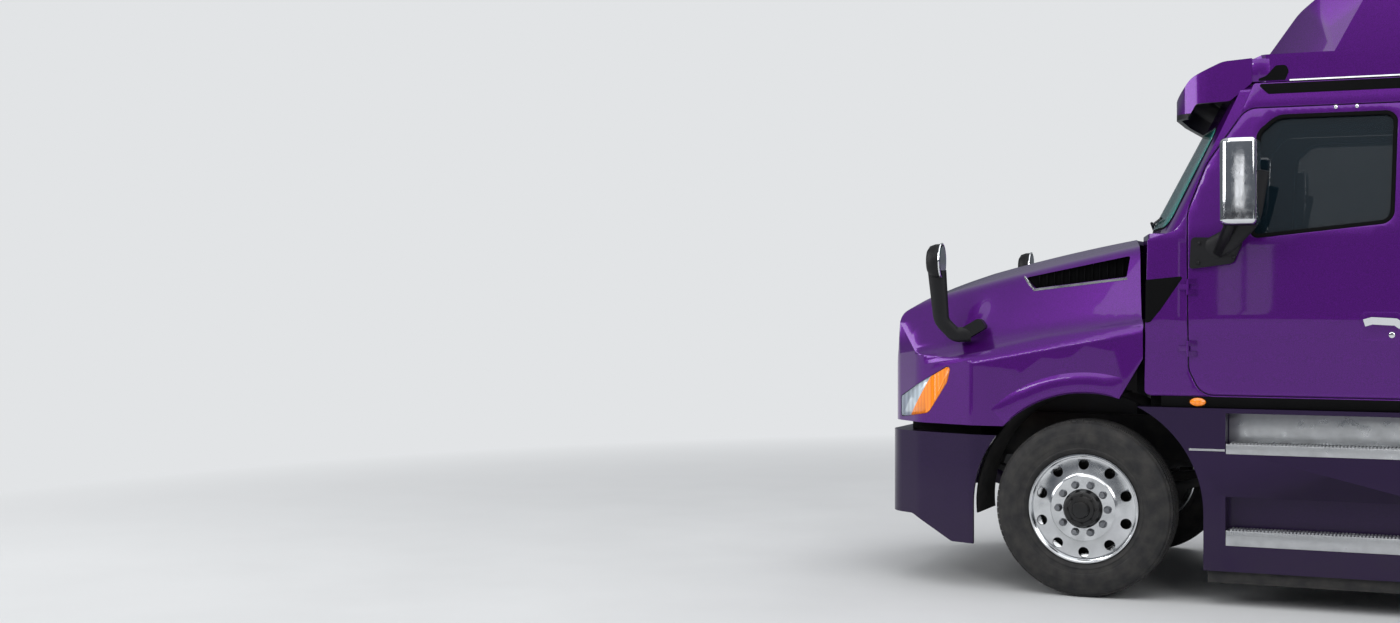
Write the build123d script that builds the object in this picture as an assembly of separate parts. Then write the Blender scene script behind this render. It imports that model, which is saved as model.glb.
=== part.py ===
from build123d import *
from functools import cache
import os
from math import cos, radians, sin, tan

# Semi truck tractor unit: conventional hood, raised-roof sleeper cab, tandem drive axles.
# Units are millimetres. X runs across (driver's side is plus), Y runs rearward and Z runs up.
# Every piece is drawn with Y counted from the front axle. The last step moves all of them so that
# the origin lies on the ground under the middle of the truck.

# Driving dimensions of the whole truck
WHEELBASE = 5842.0          # front axle to the middle of the tandem
TANDEM_SPACING = 1321.0     # between the two drive axles
FRONT_OVERHANG = 1262.0     # nose to front axle
HALF_WIDTH = 1190.0         # side of the fenders and fairings
BACK_OF_CAB = 1950.0        # rear edge of the cab, where the sleeper starts
SLEEPER_LENGTH = 1830.0
GUTTER_Z = 2955.0           # top of the cab's side, where the raised roof sits
ROOF_TOP_Z = 3960.0
FLOOR_Z = 1180.0            # underside of cab and sleeper
WIDE = 1300.0               # beyond either side of the truck, for forms that are cut to it
WALL = 60.0                 # cab wall, inner trim included
SHELL = 25.0                # hood, bumper and fairing panels
SEAM = 6.0                  # gap round doors and between panels
TOUCH = 0.3                 # gap between curved faces that seat on each other

# Running gear
TYRE_R = 515.0
TYRE_WIDTH = 283.0
RIM_R = 308.0
RIM_WIDTH = 210.0
FLANGE = 13.0               # rim flange above the bead seat
AXLE_Z = TYRE_R
STEER_TYRE_X = 1068.5       # middle of a front tyre
KINGPIN_X = 885.0
DUAL_OUTER_X = 1078.0       # middle of an outer drive tyre
DUAL_SPACING = 337.0
HUB_R = 118.0
HUB_CAP_R = 48.0
STUD_CIRCLE_R = 142.9
NUT_R = 19.0
NUT_COUNT = 10
HAND_HOLE_R = 31.0
HAND_HOLE_CIRCLE_R = 256.0
ARCH_GAP = 155.0            # tyre tread to the edge of the wheel arch
ARCH_R = TYRE_R + ARCH_GAP
ARCH_Y = 10.0
FLAP_GAP = 82.5             # last tyre to the mud flaps
REAR_OVERHANG = TANDEM_SPACING / 2 + TYRE_R + FLAP_GAP     # middle of the tandem to the truck's end

# Chassis
RAIL_X = 430.0              # outer face of a frame rail
RAIL_HEIGHT = 270.0
RAIL_TOP_Z = 1020.0
RAIL_FLANGE = 80.0
RAIL_PLATE = 8.0
RAIL_FRONT_Y = -1100.0
RAIL_REAR_Y = WHEELBASE + REAR_OVERHANG - 110
SPRING_X = RAIL_X + 5         # springs and suspension beams run under the rails
COUPLER_TOP_Z = 1220.0
COUPLER_LEAD = 300.0        # kingpin seat ahead of the middle of the tandem
COUPLER_Y = WHEELBASE - COUPLER_LEAD
KINGPIN_SEAT_R = 25.5       # seat for the trailer's 2 inch kingpin

SLEEPER_REAR = BACK_OF_CAB + SLEEPER_LENGTH
RAIL_BOTTOM_Z = RAIL_TOP_Z - RAIL_HEIGHT
DRIVE_AXLES_Y = (WHEELBASE - TANDEM_SPACING / 2, WHEELBASE + TANDEM_SPACING / 2)
FRONT_AXLE_AT = -(FRONT_OVERHANG + WHEELBASE + REAR_OVERHANG) / 2 + FRONT_OVERHANG


# Drawing helpers: outlines are short lists of corners, each with its own rounding

def outline(plane, corners, radius=0.0):
    """Closed face through (a, b) corners, or (a, b, rounding) where one differs."""
    points = [(c[0], c[1]) for c in corners]
    rounding = [c[2] if len(c) > 2 else radius for c in corners]
    return make_face(plane * FilletPolyline(*points, radius=rounding, close=True))


def slab_x(corners, low, high, radius=0.0):
    """Side view outline in (y, z), from x = low to x = high."""
    return extrude(outline(Plane.YZ.offset(low), corners, radius), high - low, dir=(1, 0, 0))


def slab_y(corners, low, high, radius=0.0):
    """Front view outline in (x, z), from y = low to y = high."""
    return extrude(outline(Plane.XZ.offset(-low), corners, radius), high - low, dir=(0, 1, 0))


def slab_z(corners, low, high, radius=0.0):
    """Plan outline in (x, y), from z = low to z = high."""
    return extrude(outline(Plane.XY.offset(low), corners, radius), high - low, dir=(0, 0, 1))


def block(x0, x1, y0, y1, z0, z1):
    """Box between two corners."""
    middle = ((x0 + x1) / 2, (y0 + y1) / 2, (z0 + z1) / 2)
    return Pos(*middle) * Box(abs(x1 - x0), abs(y1 - y0), abs(z1 - z0))


def rod(start, end, radius):
    """Round bar between two points."""
    axis = Vector(*end) - Vector(*start)
    return Plane(origin=start, z_dir=axis) * Cylinder(
        radius, axis.length, align=(Align.CENTER, Align.CENTER, Align.MIN))


def tube(points, radius, bend):
    """Round bar along straight runs joined by tangent bends."""
    path = FilletPolyline(*points, radius=bend)
    start = Plane(origin=path @ 0, z_dir=path % 0)
    return sweep(start * Circle(radius), path)


def turned_x(profile, x, y, z):
    """Turns an (offset along x, radius) profile about a line along X through (y, z)."""
    face = make_face(Plane.XY * Polyline(*profile, close=True))
    return Pos(x, y, z) * revolve(face, Axis.X)


def ring_of(piece, count, x, y, z):
    """Copies of a piece round a line along X."""
    turn = 360 / count
    return [Pos(x, y, z) * Rot(i * turn, 0, 0) * piece for i in range(count)]


def mirrored(piece):
    """The same piece on the other side of the truck."""
    return mirror(piece, Plane.YZ)


def symmetric(half):
    """A half outline in (x, z or y), from bottom to top, made whole."""
    other = [(-c[0], *c[1:]) for c in reversed(half) if c[0] > 0]
    return [*half, *other]


def inset_face(face, amount):
    """The face with its edge moved inward."""
    return offset(face, amount=-amount, kind=Kind.INTERSECTION) if amount else face


# Wheels and tyres, drawn with their outer side towards +X

def tyre():
    """Hollow carcass with a square shoulder and a bulged sidewall."""
    half = TYRE_WIDTH / 2
    tread = half - 24
    carcass = 22
    bead_x = RIM_WIDTH / 2 - TOUCH
    bead_r = RIM_R + FLANGE + 1.5
    side = [(tread - 60, TYRE_R), (tread, TYRE_R - 4), (half - 8, TYRE_R - 30), (half - 3, TYRE_R - 75),
            (half, TYRE_R - 115), (half - 6, RIM_R + 70), (half - 18, RIM_R + 34), (bead_x + 6, bead_r),
            (bead_x, bead_r), (bead_x, RIM_R)]
    inner = [(RIM_WIDTH / 2 - carcass, RIM_R), (half - carcass - 6, RIM_R + 60),
             (half - carcass, TYRE_R - 115), (half - carcass - 14, TYRE_R - 55), (tread - 60, TYRE_R - 34)]
    right = [*side, *inner]
    left = [(-x, r) for x, r in reversed(right)]
    face = make_face(Polyline(*right, *left, close=True))
    return revolve(face, Axis.X)


def rim(disc_x, disc_out, depth):
    """Drop-centre rim. Its disc's flat face is at disc_x and falls back by depth to the rim.

    disc_out is 1 where that face looks outward.
    """
    half = RIM_WIDTH / 2
    plate = 11
    seat = RIM_R - TOUCH
    flange_r = RIM_R + FLANGE
    well = 60
    barrel = [(-half, seat), (-half, flange_r), (-half - 14, flange_r), (-half - 14, seat - plate),
              (-half + 30, seat - plate), (-well, seat - 40), (well, seat - 40), (half - 30, seat - plate),
              (half + 14, seat - plate), (half + 14, flange_r), (half, flange_r), (half, seat),
              (half - 34, seat), (well - 4, seat - 30), (4 - well, seat - 30), (-half + 34, seat)]
    dish = disc_x - disc_out * depth
    edge = seat - plate / 2
    disc = [(disc_x, HUB_R - 20), (disc_x, STUD_CIRCLE_R + 42), (dish, edge), (dish - disc_out * 14, edge),
            (disc_x - disc_out * 16, STUD_CIRCLE_R + 38), (disc_x - disc_out * 16, HUB_R - 20)]
    return turned_x(barrel, 0, 0, 0) + turned_x(disc, 0, 0, 0)


def hub(face_x, length, back_x):
    """Hub with its bolting flange, cap and nuts, from back_x out to face_x + length."""
    profile = [(back_x, 0), (back_x, HUB_R - 20), (face_x, HUB_R - 20), (face_x, HUB_R + 2),
               (face_x + length * 0.55, HUB_R - 12), (face_x + length * 0.62, HUB_CAP_R + 22),
               (face_x + length * 0.9, HUB_CAP_R + 10),
               (face_x + length, HUB_CAP_R - 6), (face_x + length, 0)]
    body = turned_x(profile, 0, 0, 0)
    nut = Pos(face_x, 0, STUD_CIRCLE_R) * Rot(0, 90, 0) * Cylinder(
        NUT_R, 34, align=(Align.CENTER, Align.CENTER, Align.MIN))
    return body + ring_of(nut, NUT_COUNT, 0, 0, 0)


def hand_holes(x_low, x_high):
    """Round holes through a wheel's disc, each between two nuts."""
    hole = Pos(x_low, 0, HAND_HOLE_CIRCLE_R) * Rot(0, 90, 0) * Cylinder(
        HAND_HOLE_R, x_high - x_low, align=(Align.CENTER, Align.CENTER, Align.MIN))
    return ring_of(Rot(180 / NUT_COUNT, 0, 0) * hole, NUT_COUNT, 0, 0, 0)


STEER_DISC_X = 118.0        # outer face of a front wheel's disc, from the tyre's middle
STEER_DISC_DEPTH = 30.0     # how far the disc falls back to its rim
STEER_HUB_OUT = 80.0
SPINDLE_R = 38.0
DRUM_R = 205.0


def steer_wheel():
    """Front wheel with its hub, bored for the knuckle's spindle."""
    body = rim(STEER_DISC_X, 1, STEER_DISC_DEPTH) + hub(STEER_DISC_X, STEER_HUB_OUT, -40)
    body -= hand_holes(STEER_DISC_X - STEER_DISC_DEPTH - 15, STEER_DISC_X + 20)
    bore = Pos(-50, 0, 0) * Rot(0, 90, 0) * Cylinder(
        SPINDLE_R + TOUCH, 200, align=(Align.CENTER, Align.CENTER, Align.MIN))
    return body - bore


DRIVE_DISC_X = -150.0       # outer face of the outer disc, from the outer tyre's middle
DRIVE_DISC_DEPTH = 60.0
DRIVE_HUB_OUT = 210.0
DRIVE_SPINDLE_R = SPINDLE_R + 12


def drive_wheels():
    """Outer and inner wheel back to back on one hub with its brake drum."""
    outer = rim(DRIVE_DISC_X, -1, DRIVE_DISC_DEPTH)
    inner = Pos(-DUAL_SPACING, 0, 0) * rim(DUAL_SPACING + DRIVE_DISC_X - 16, 1, DRIVE_DISC_DEPTH)
    drum_back = DRIVE_DISC_X - 240
    drum = turned_x([(drum_back, DRUM_R - 15), (drum_back, DRUM_R), (DRIVE_DISC_X - 26, DRUM_R - 18),
                     (DRIVE_DISC_X - 26, HUB_R - 30), (DRIVE_DISC_X - 40, HUB_R - 30),
                     (DRIVE_DISC_X - 40, DRUM_R - 32)], 0, 0, 0)
    body = outer + inner + drum + hub(DRIVE_DISC_X, DRIVE_HUB_OUT, DRIVE_DISC_X - 60)
    body -= hand_holes(DRIVE_DISC_X - DRIVE_DISC_DEPTH - 25, DRIVE_DISC_X + DRIVE_DISC_DEPTH + 10)
    bore = Pos(DRIVE_DISC_X - 300, 0, 0) * Rot(0, 90, 0) * Cylinder(
        DRIVE_SPINDLE_R + TOUCH, 340, align=(Align.CENTER, Align.CENTER, Align.MIN))
    return body - bore


# Steering knuckle, axle beams and springs

KNUCKLE_BOSS_HALF = 62.0
KNUCKLE_EAR = 42.0
PIN_R = 22.0


def knuckle():
    """Forked knuckle round the axle's end, with kingpin, spindle and steering arm. Left side."""
    body = rod((KINGPIN_X + 78, 0, AXLE_Z), (STEER_TYRE_X + 105, 0, AXLE_Z), SPINDLE_R)
    web = 95
    body += block(KINGPIN_X + 60, KINGPIN_X + web, -62, 62,
                  AXLE_Z - KNUCKLE_BOSS_HALF - KNUCKLE_EAR, AXLE_Z + KNUCKLE_BOSS_HALF + KNUCKLE_EAR)
    for side in (-1, 1):
        near = AXLE_Z + side * (KNUCKLE_BOSS_HALF + 1)
        far = AXLE_Z + side * (KNUCKLE_BOSS_HALF + KNUCKLE_EAR)
        body += rod((KINGPIN_X, 0, near), (KINGPIN_X, 0, far), 48)
        body += block(KINGPIN_X, KINGPIN_X + web, -48, 48, near, far)
    pin_half = KNUCKLE_BOSS_HALF + 2
    body += rod((KINGPIN_X, 0, AXLE_Z - pin_half), (KINGPIN_X, 0, AXLE_Z + pin_half), PIN_R)
    backing_plate = [(-30, 60), (-30, DRUM_R - 10), (-22, DRUM_R - 10), (-22, 60)]
    brake = turned_x(backing_plate, STEER_TYRE_X - 60, 0, AXLE_Z)
    arm_z = AXLE_Z - KNUCKLE_BOSS_HALF - KNUCKLE_EAR
    arm = slab_z([(KINGPIN_X - 40, 0), (KINGPIN_X + 40, 0), (KINGPIN_X - 40, 210), (KINGPIN_X - 105, 210)],
                 arm_z, arm_z + 30)
    return body + brake + arm


AXLE_DROP = 88.0            # underside of the beam below the wheel centres
BEAM_HEIGHT = 96.0


def front_axle():
    """Dropped forged beam of I section with a boss for each kingpin."""
    drop = AXLE_DROP
    seat_half = 330
    height = BEAM_HEIGHT
    upper = [(KINGPIN_X, AXLE_Z + 40), (KINGPIN_X - 95, AXLE_Z + 40, 60),
             (seat_half + 170, AXLE_Z - drop + height, 60)]
    lower = [(seat_half + 140, AXLE_Z - drop, 60), (KINGPIN_X - 90, AXLE_Z - 52, 60),
             (KINGPIN_X, AXLE_Z - 52)]
    right_half = [*lower, *upper]
    beam = slab_y([*right_half, *[(-x, z, *r) for x, z, *r in reversed(right_half)]], -55, 55)
    waist = 34
    groove = [(KINGPIN_X - 110, AXLE_Z + 14), (seat_half + 165, AXLE_Z - drop + height - 24),
              (-seat_half - 165, AXLE_Z - drop + height - 24), (110 - KINGPIN_X, AXLE_Z + 14),
              (110 - KINGPIN_X, AXLE_Z - 22), (-seat_half - 160, AXLE_Z - drop + 24),
              (seat_half + 160, AXLE_Z - drop + 24), (KINGPIN_X - 110, AXLE_Z - 22)]
    for y0, y1 in ((-60, -waist / 2), (waist / 2, 60)):
        beam -= slab_y(groove, y0, y1)
    for side_of in (-1, 1):
        x = side_of * KINGPIN_X
        beam += rod((x, 0, AXLE_Z - KNUCKLE_BOSS_HALF), (x, 0, AXLE_Z + KNUCKLE_BOSS_HALF), 50)
        beam -= rod((x, 0, AXLE_Z - 80), (x, 0, AXLE_Z + 80), PIN_R + TOUCH)
    return beam


FRONT_SEAT_Z = AXLE_Z - AXLE_DROP + BEAM_HEIGHT
SPRING_WIDTH = 90.0
SPRING_STACK = 62.0         # leaves over the axle seat
LEAF = 34.0                 # leaf at the eyes
EYES_Y = (-720.0, 760.0)
EYE_Z = RAIL_BOTTOM_Z - 60


def front_springs():
    """Taper-leaf springs in hangers under the rails, one each side."""
    front_eye, rear_eye = EYES_Y
    low, top = EYE_Z - LEAF / 2, EYE_Z + LEAF / 2
    arc_low = ThreePointArc((front_eye, low), (0, FRONT_SEAT_Z), (rear_eye, low))
    arc_top = ThreePointArc((front_eye, top), (0, FRONT_SEAT_Z + SPRING_STACK), (rear_eye, top))
    band = make_face(Plane.YZ.offset(-SPRING_WIDTH / 2) * (
        arc_low + arc_top + Line(arc_low @ 0, arc_top @ 0) + Line(arc_low @ 1, arc_top @ 1)))
    spring = extrude(band, SPRING_WIDTH)
    spring -= block(-SPRING_WIDTH, SPRING_WIDTH, -120, 120, 0, FRONT_SEAT_Z)
    for eye in (front_eye, rear_eye):
        spring += rod((-SPRING_WIDTH / 2, eye, EYE_Z), (SPRING_WIDTH / 2, eye, EYE_Z), 32)
        hanger = slab_x([(eye - 70, RAIL_BOTTOM_Z), (eye - 32, EYE_Z - 40, 20), (eye + 32, EYE_Z - 40, 20),
                         (eye + 70, RAIL_BOTTOM_Z)], SPRING_WIDTH / 2, SPRING_WIDTH / 2 + 12)
        spring += hanger + mirrored(hanger)
    clamp_half = SPRING_WIDTH / 2 + 12
    spring += block(-clamp_half, clamp_half, -110, 110, FRONT_SEAT_Z + 50, FRONT_SEAT_Z + 78)
    return [Pos(side * SPRING_X, 0, 0) * spring for side in (-1, 1)]


BOWL_R = 200.0
AXLE_TUBE_R = 72.0
PINION_RISE = 40.0          # pinion above the wheel centres
PINION_REACH = 330.0        # flange ahead of the axle


def drive_axle(y):
    """Banjo housing with tapered tubes, spindles and a pinion nose facing forward."""
    bowl = [(-150, 0), (-150, 95), (-85, BOWL_R), (85, BOWL_R), (150, 95), (150, 0)]
    body = turned_x(bowl, 0, y, AXLE_Z)
    spindle_end = DUAL_OUTER_X + DRIVE_DISC_X + 20
    for side in (-1, 1):
        for radius, end in ((AXLE_TUBE_R, 560), (DRIVE_SPINDLE_R, spindle_end)):
            body += rod((0, y, AXLE_Z), (side * end, y, AXLE_Z), radius)
    nose = Pos(0, y, AXLE_Z + PINION_RISE) * Rot(90, 0, 0) * Cone(
        95, 60, PINION_REACH, align=(Align.CENTER, Align.CENTER, Align.MIN))
    return body + nose


BEAM_Z = AXLE_Z - AXLE_TUBE_R - 60
BAG_R = 125.0


def rear_suspension():
    """Trailing beam, hanger and air bag at each drive axle end."""
    pieces = []
    for y in DRIVE_AXLES_Y:
        pivot_y = y - 540
        bag_y = y + 300
        beam = slab_x([(pivot_y - 40, BEAM_Z + 130, 20), (pivot_y - 40, BEAM_Z + 40, 20),
                       (y - 160, BEAM_Z - 30, 40), (bag_y + 110, BEAM_Z - 30, 20),
                       (bag_y + 110, BEAM_Z + 20, 10), (y + 150, BEAM_Z + 20, 10),
                       (y + 120, BEAM_Z + 60, 0), (y - 120, BEAM_Z + 60, 0), (y - 200, BEAM_Z + 70, 20),
                       (pivot_y + 50, BEAM_Z + 130, 20)], SPRING_X - 40, SPRING_X + 40)
        hanger = slab_x([(pivot_y - 110, RAIL_TOP_Z - 60), (pivot_y - 110, RAIL_BOTTOM_Z, 20),
                         (pivot_y - 50, BEAM_Z + 60, 20), (pivot_y + 50, BEAM_Z + 60, 20),
                         (pivot_y + 110, RAIL_BOTTOM_Z, 20), (pivot_y + 110, RAIL_TOP_Z - 60)], 0, 12)
        near = Pos(RAIL_X, 0, 0) * hanger
        far = Pos(SPRING_X + 40, 0, 0) * hanger
        hinge = rod((RAIL_X, pivot_y, BEAM_Z + 90), (SPRING_X + 52, pivot_y, BEAM_Z + 90), 26)
        bag_height = RAIL_BOTTOM_Z - BEAM_Z - 20
        bag_side = [(0, 0), (80, 0), (BAG_R - 30, 60), (BAG_R, 120), (BAG_R, bag_height - 75),
                    (BAG_R - 30, bag_height - 4), (0, bag_height)]
        bag = Pos(SPRING_X, bag_y, BEAM_Z + 20) * revolve(
            make_face(Plane.XZ * Polyline(*bag_side, close=True)), Axis.Z)
        arm = beam + near + far + hinge + bag
        pieces += [arm, mirrored(arm)]
    return pieces


# Frame, driveline and fuel tanks

CROSSMEMBERS_Y = (-930.0, 1720.0, 3000.0, 4350.0, WHEELBASE, RAIL_REAR_Y - 60.0)
CROSS_DROP = 110.0              # crossmembers below the rails' top
CAB_MOUNTS_Y = (520.0, 1750.0, SLEEPER_REAR - 160.0)
TANK_R = 300.0
TANK_X = (RAIL_X + HALF_WIDTH - SHELL) / 2     # midway between rail and fairing
TANK_Z = 640.0
TANK_Y = (2080.0, 4080.0)
STRAP = 6.0
STRAP_INSET = 380.0             # tank's end to the middle of a strap
OUTRIGGERS_Y = (TANK_Y[0] - 90, TANK_Y[1] + 100)
ENGINE_HALF = RAIL_X - RAIL_FLANGE - 50         # fits between the rails' flanges
ENGINE = (-ENGINE_HALF, ENGINE_HALF, -850.0, 150.0, 640.0, 1600.0)
GEARBOX_END = (1500.0, 800.0)   # y and z of the output flange


def frame():
    """Two channel rails with crossmembers, cab mounts, bumper horns and tank outriggers."""
    x_in = RAIL_X - RAIL_FLANGE
    web = RAIL_X - RAIL_PLATE
    channel = [(RAIL_X, RAIL_BOTTOM_Z), (RAIL_X, RAIL_TOP_Z), (x_in, RAIL_TOP_Z),
               (x_in, RAIL_TOP_Z - RAIL_PLATE), (web, RAIL_TOP_Z - RAIL_PLATE),
               (web, RAIL_BOTTOM_Z + RAIL_PLATE), (x_in, RAIL_BOTTOM_Z + RAIL_PLATE), (x_in, RAIL_BOTTOM_Z)]
    rail = slab_y(channel, RAIL_FRONT_Y, RAIL_REAR_Y)
    for y in CAB_MOUNTS_Y:
        rail += block(x_in, RAIL_X, y - 60, y + 60, RAIL_TOP_Z, FLOOR_Z)
    for y in OUTRIGGERS_Y:
        rail += block(RAIL_X, HALF_WIDTH - SHELL, y - 30, y + 30, RAIL_TOP_Z - 90, RAIL_TOP_Z - 30)
    body = rail + mirrored(rail)
    for y in CROSSMEMBERS_Y:
        low = RAIL_TOP_Z - CROSS_DROP
        body += block(-web, web, y - 45, y + 45, low, low + RAIL_PLATE)
        body += block(-web, web, y - 4, y + 4, low, RAIL_TOP_Z - RAIL_PLATE)
    return body


def engine():
    """Plain engine block with its mounts, clutch housing and gearbox."""
    x0, x1, y0, y1, z0, z1 = ENGINE
    body = slab_y([(x0, z0 + 160, 30), (x0 + 130, z0, 30), (x1 - 130, z0, 30), (x1, z0 + 160, 30),
                   (x1, z1 - 120, 30), (x1 - 110, z1, 30), (x0 + 110, z1, 30), (x0, z1 - 120, 30)], y0, y1)
    end_y, end_z = GEARBOX_END
    body += Pos(0, y1, end_z + 20) * Rot(-90, 0, 0) * Cone(
        200, 140, 260, align=(Align.CENTER, Align.CENTER, Align.MIN))
    body += slab_y([(-140, end_z - 120, 40), (140, end_z - 120, 40), (150, end_z + 120, 40),
                    (-150, end_z + 120, 40)], y1 + 250, end_y)
    web = RAIL_X - RAIL_PLATE
    for y in (-420.0, 180.0):
        body += block(-web, web, y - 50, y + 50, RAIL_BOTTOM_Z + 40, RAIL_BOTTOM_Z + 120)
    return body


def driveshafts():
    """Main shaft to the forward drive axle and the short shaft between the drive axles."""
    first, second = DRIVE_AXLES_Y
    end_y, end_z = GEARBOX_END
    slope = 4.0
    pinion_z = AXLE_Z + PINION_RISE
    fore_y, aft_y = first - PINION_REACH, second - PINION_REACH
    main = rod((0, end_y + slope, end_z), (0, fore_y - slope, pinion_z), 52)
    main += rod((0, end_y + TOUCH, end_z), (0, end_y + 3 * slope, end_z), 70)
    main += rod((0, fore_y - 3 * slope, pinion_z), (0, fore_y - TOUCH, pinion_z), 58)
    short = rod((0, first + BOWL_R - 2, pinion_z), (0, aft_y - TOUCH, pinion_z), 45)
    short -= drive_axle(first)
    return [main, short]


def fuel_tanks():
    """Round tanks with domed ends, straps and brackets to the rails."""
    y0, y1 = TANK_Y
    length = y1 - y0
    tank = Pos(TANK_X, (y0 + y1) / 2, TANK_Z) * Rot(90, 0, 0) * Cylinder(TANK_R, length)
    tank = fillet(tank.edges().filter_by(GeomType.CIRCLE), 45)
    bracket = [(RAIL_X, RAIL_BOTTOM_Z + 20), (RAIL_X, RAIL_TOP_Z - 20), (RAIL_X + 60, RAIL_TOP_Z - 20),
               (TANK_X - TANK_R / 2, RAIL_BOTTOM_Z + 60), (TANK_X - TANK_R / 2, TANK_Z)]
    for y in (y0 + STRAP_INSET, y1 - STRAP_INSET):
        tank += Pos(TANK_X, y, TANK_Z) * Rot(90, 0, 0) * Cylinder(TANK_R + STRAP, 60)
        tank += slab_y(bracket, y - 25, y + 25)
    filler_z = TANK_Z + TANK_R - 40
    tank += Pos(TANK_X + 0.4 * TANK_R, y0 + 200, filler_z) * Cylinder(45, 110)
    return [tank, mirrored(tank)]


# Coupling for the trailer

COUPLER_HALF = 455.0
COUPLER_PLATE = 46.0
COUPLER_PIVOT_Z = 1085.0
COUPLER_PIVOT_X = 330.0
COUPLER_PIN_R = 28.0


def coupler():
    """Plate with a vee throat to the kingpin seat, skirt ribs, ramps and trunnion ears."""
    mouth = 330.0
    half = COUPLER_HALF
    y = COUPLER_Y
    plate_outline = [(-half + 90, y - half, 60), (half - 90, y - half, 60), (half, y - half + 150, 60),
                     (half, y + 250, 40), (half - 60, y + 560, 30), (mouth / 2, y + 560, 20),
                     (KINGPIN_SEAT_R, y + 110, 0), (KINGPIN_SEAT_R, y, 0), (-KINGPIN_SEAT_R, y, 0),
                     (-KINGPIN_SEAT_R, y + 110, 0), (-mouth / 2, y + 560, 20), (60 - half, y + 560, 30),
                     (-half, y + 250, 40), (-half, y - half + 150, 60)]
    bottom = COUPLER_TOP_Z - COUPLER_PLATE
    plate = slab_z(plate_outline, bottom, COUPLER_TOP_Z)
    plate -= rod((0, y, bottom), (0, y, COUPLER_TOP_Z), KINGPIN_SEAT_R)
    ramp = slab_x([(y + 300, COUPLER_TOP_Z), (y + 600, COUPLER_TOP_Z - 40), (y + 600, COUPLER_TOP_Z + 20),
                   (y + 300, COUPLER_TOP_Z + 20)], -half - 5, half + 5)
    plate -= ramp
    ear_z = COUPLER_PIVOT_Z - 50
    ear = [(y - 130, bottom), (y - 60, ear_z, 30), (y + 60, ear_z, 30), (y + 130, bottom)]
    for side in (-1, 1):
        x0, x1 = sorted((side * (COUPLER_PIVOT_X - 20), side * (COUPLER_PIVOT_X + 20)))
        plate += slab_x(ear, x0, x1)
        rib_x0, rib_x1 = sorted((side * (mouth / 2 + 40), side * (mouth / 2 + 55)))
        plate += block(rib_x0, rib_x1, y - 260, y + 420, bottom - 45, bottom)
        plate += rod((side * (COUPLER_PIVOT_X - 20), y, COUPLER_PIVOT_Z),
                     (side * (COUPLER_PIVOT_X + 62), y, COUPLER_PIVOT_Z), COUPLER_PIN_R)
    return plate


def coupler_base():
    """Mounting angles on the rails with bored trunnion brackets."""
    pieces = []
    y = COUPLER_Y
    top = COUPLER_PIVOT_Z + 40
    side_view = [(y - 230, RAIL_TOP_Z), (y - 60, top, 40), (y + 60, top, 40), (y + 230, RAIL_TOP_Z)]
    for side in (-1, 1):
        x0, x1 = sorted((side * (COUPLER_PIVOT_X + 27), side * (COUPLER_PIVOT_X + 60)))
        bracket = slab_x(side_view, x0, x1)
        bracket -= rod((x0 - 1, y, COUPLER_PIVOT_Z), (x1 + 1, y, COUPLER_PIVOT_Z), COUPLER_PIN_R + TOUCH)
        foot0, foot1 = sorted((side * (RAIL_X - RAIL_FLANGE), side * (RAIL_X + 40)))
        bracket += block(foot0, foot1, y - 420, y + 420, RAIL_TOP_Z, RAIL_TOP_Z + 14)
        pieces.append(bracket)
    return pieces


# Hood with its fenders. Each section of the loft is one row.
# y, side x, crest z, fender x, fender z, shoulder x, shoulder z, top x, top z
HOOD_SECTIONS = (
    (-1330.0, 1190.0, 1230.0, 1010.0, 1340.0, 800.0, 1650.0, 430.0, 1705.0),
    (-620.0, 1190.0, 1370.0, 1030.0, 1500.0, 860.0, 1835.0, 450.0, 1918.0),
    (340.0, 1178.0, 1560.0, 1060.0, 1650.0, 930.0, 2050.0, 520.0, 2118.0),
)
HOOD_REAR_Y = 340.0                  # at the sides; the rear edge bows forward with the cowl
COWL_GAP = 40.0
COWL_Y = HOOD_REAR_Y + COWL_GAP      # cowl and firewall at the sides
SCREEN_SET = 25.0                    # windshield base behind the cowl's front edge
HOOD_LOWER_Z = 980.0
FLARE_WIDTH = 60.0                   # lip inside the wheel arch
HOOD_REAR_LOWER = (207.0, 1160.0)    # where the rear seam runs out at the wheel arch
HOOD_REAR_KINK_Z = 1390.0
NOSE = ((-FRONT_OVERHANG, 1230.0), (40 - FRONT_OVERHANG, 1420.0), (62 - FRONT_OVERHANG, 1640.0))   # y and z
HOOD_HINGE = (24 - FRONT_OVERHANG, 952.0)    # y and z of the tilt axis, in the gap over the bumper


HOOD_CORNER = 370.0                  # flat front ends this far inside the truck's side
BUMPER_CORNER = 290.0


def nose_plan(front, corner, inset):
    """Plan outline of hood and bumper: flat front, swept corners."""
    rear = 1200.0
    half = HALF_WIDTH + 8 - inset
    corners = [(half, rear), (half, -640, 300), (half - 150, -1030, 240),
               (half - corner, front + 10 + inset, 200)]
    middle = [(0, front + inset)]
    other = [(-x, y, *r) for x, y, *r in reversed(corners)]
    return [*corners, *middle, *other]


@cache
def hood_form(inset):
    """Solid form of the hood, its skin moved inward by inset."""
    sections = []
    for y, side_x, crest_z, fender_x, fender_z, shoulder_x, shoulder_z, top_x, top_z in HOOD_SECTIONS:
        half = [(side_x, 600), (side_x, crest_z, 70), (fender_x, fender_z, 160),
                (shoulder_x, shoulder_z, 130), (top_x, top_z, 300)]
        face = outline(Plane.XZ.offset(-y), symmetric(half))
        sections.append(inset_face(face, inset))
    form = loft(sections)
    nose = [(y + inset, z) for y, z in NOSE]
    side = [(HOOD_REAR_Y, 600), (nose[0][0], 600), nose[0], (*nose[1], 200), (*nose[2], 80),
            (-900, 1822 - inset, 900), (-200, 2080, 0), (HOOD_REAR_Y, 2300)]
    form &= slab_x(side, -WIDE, WIDE)
    return form & slab_z(nose_plan(-FRONT_OVERHANG, HOOD_CORNER, inset), 500, 2400)


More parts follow.
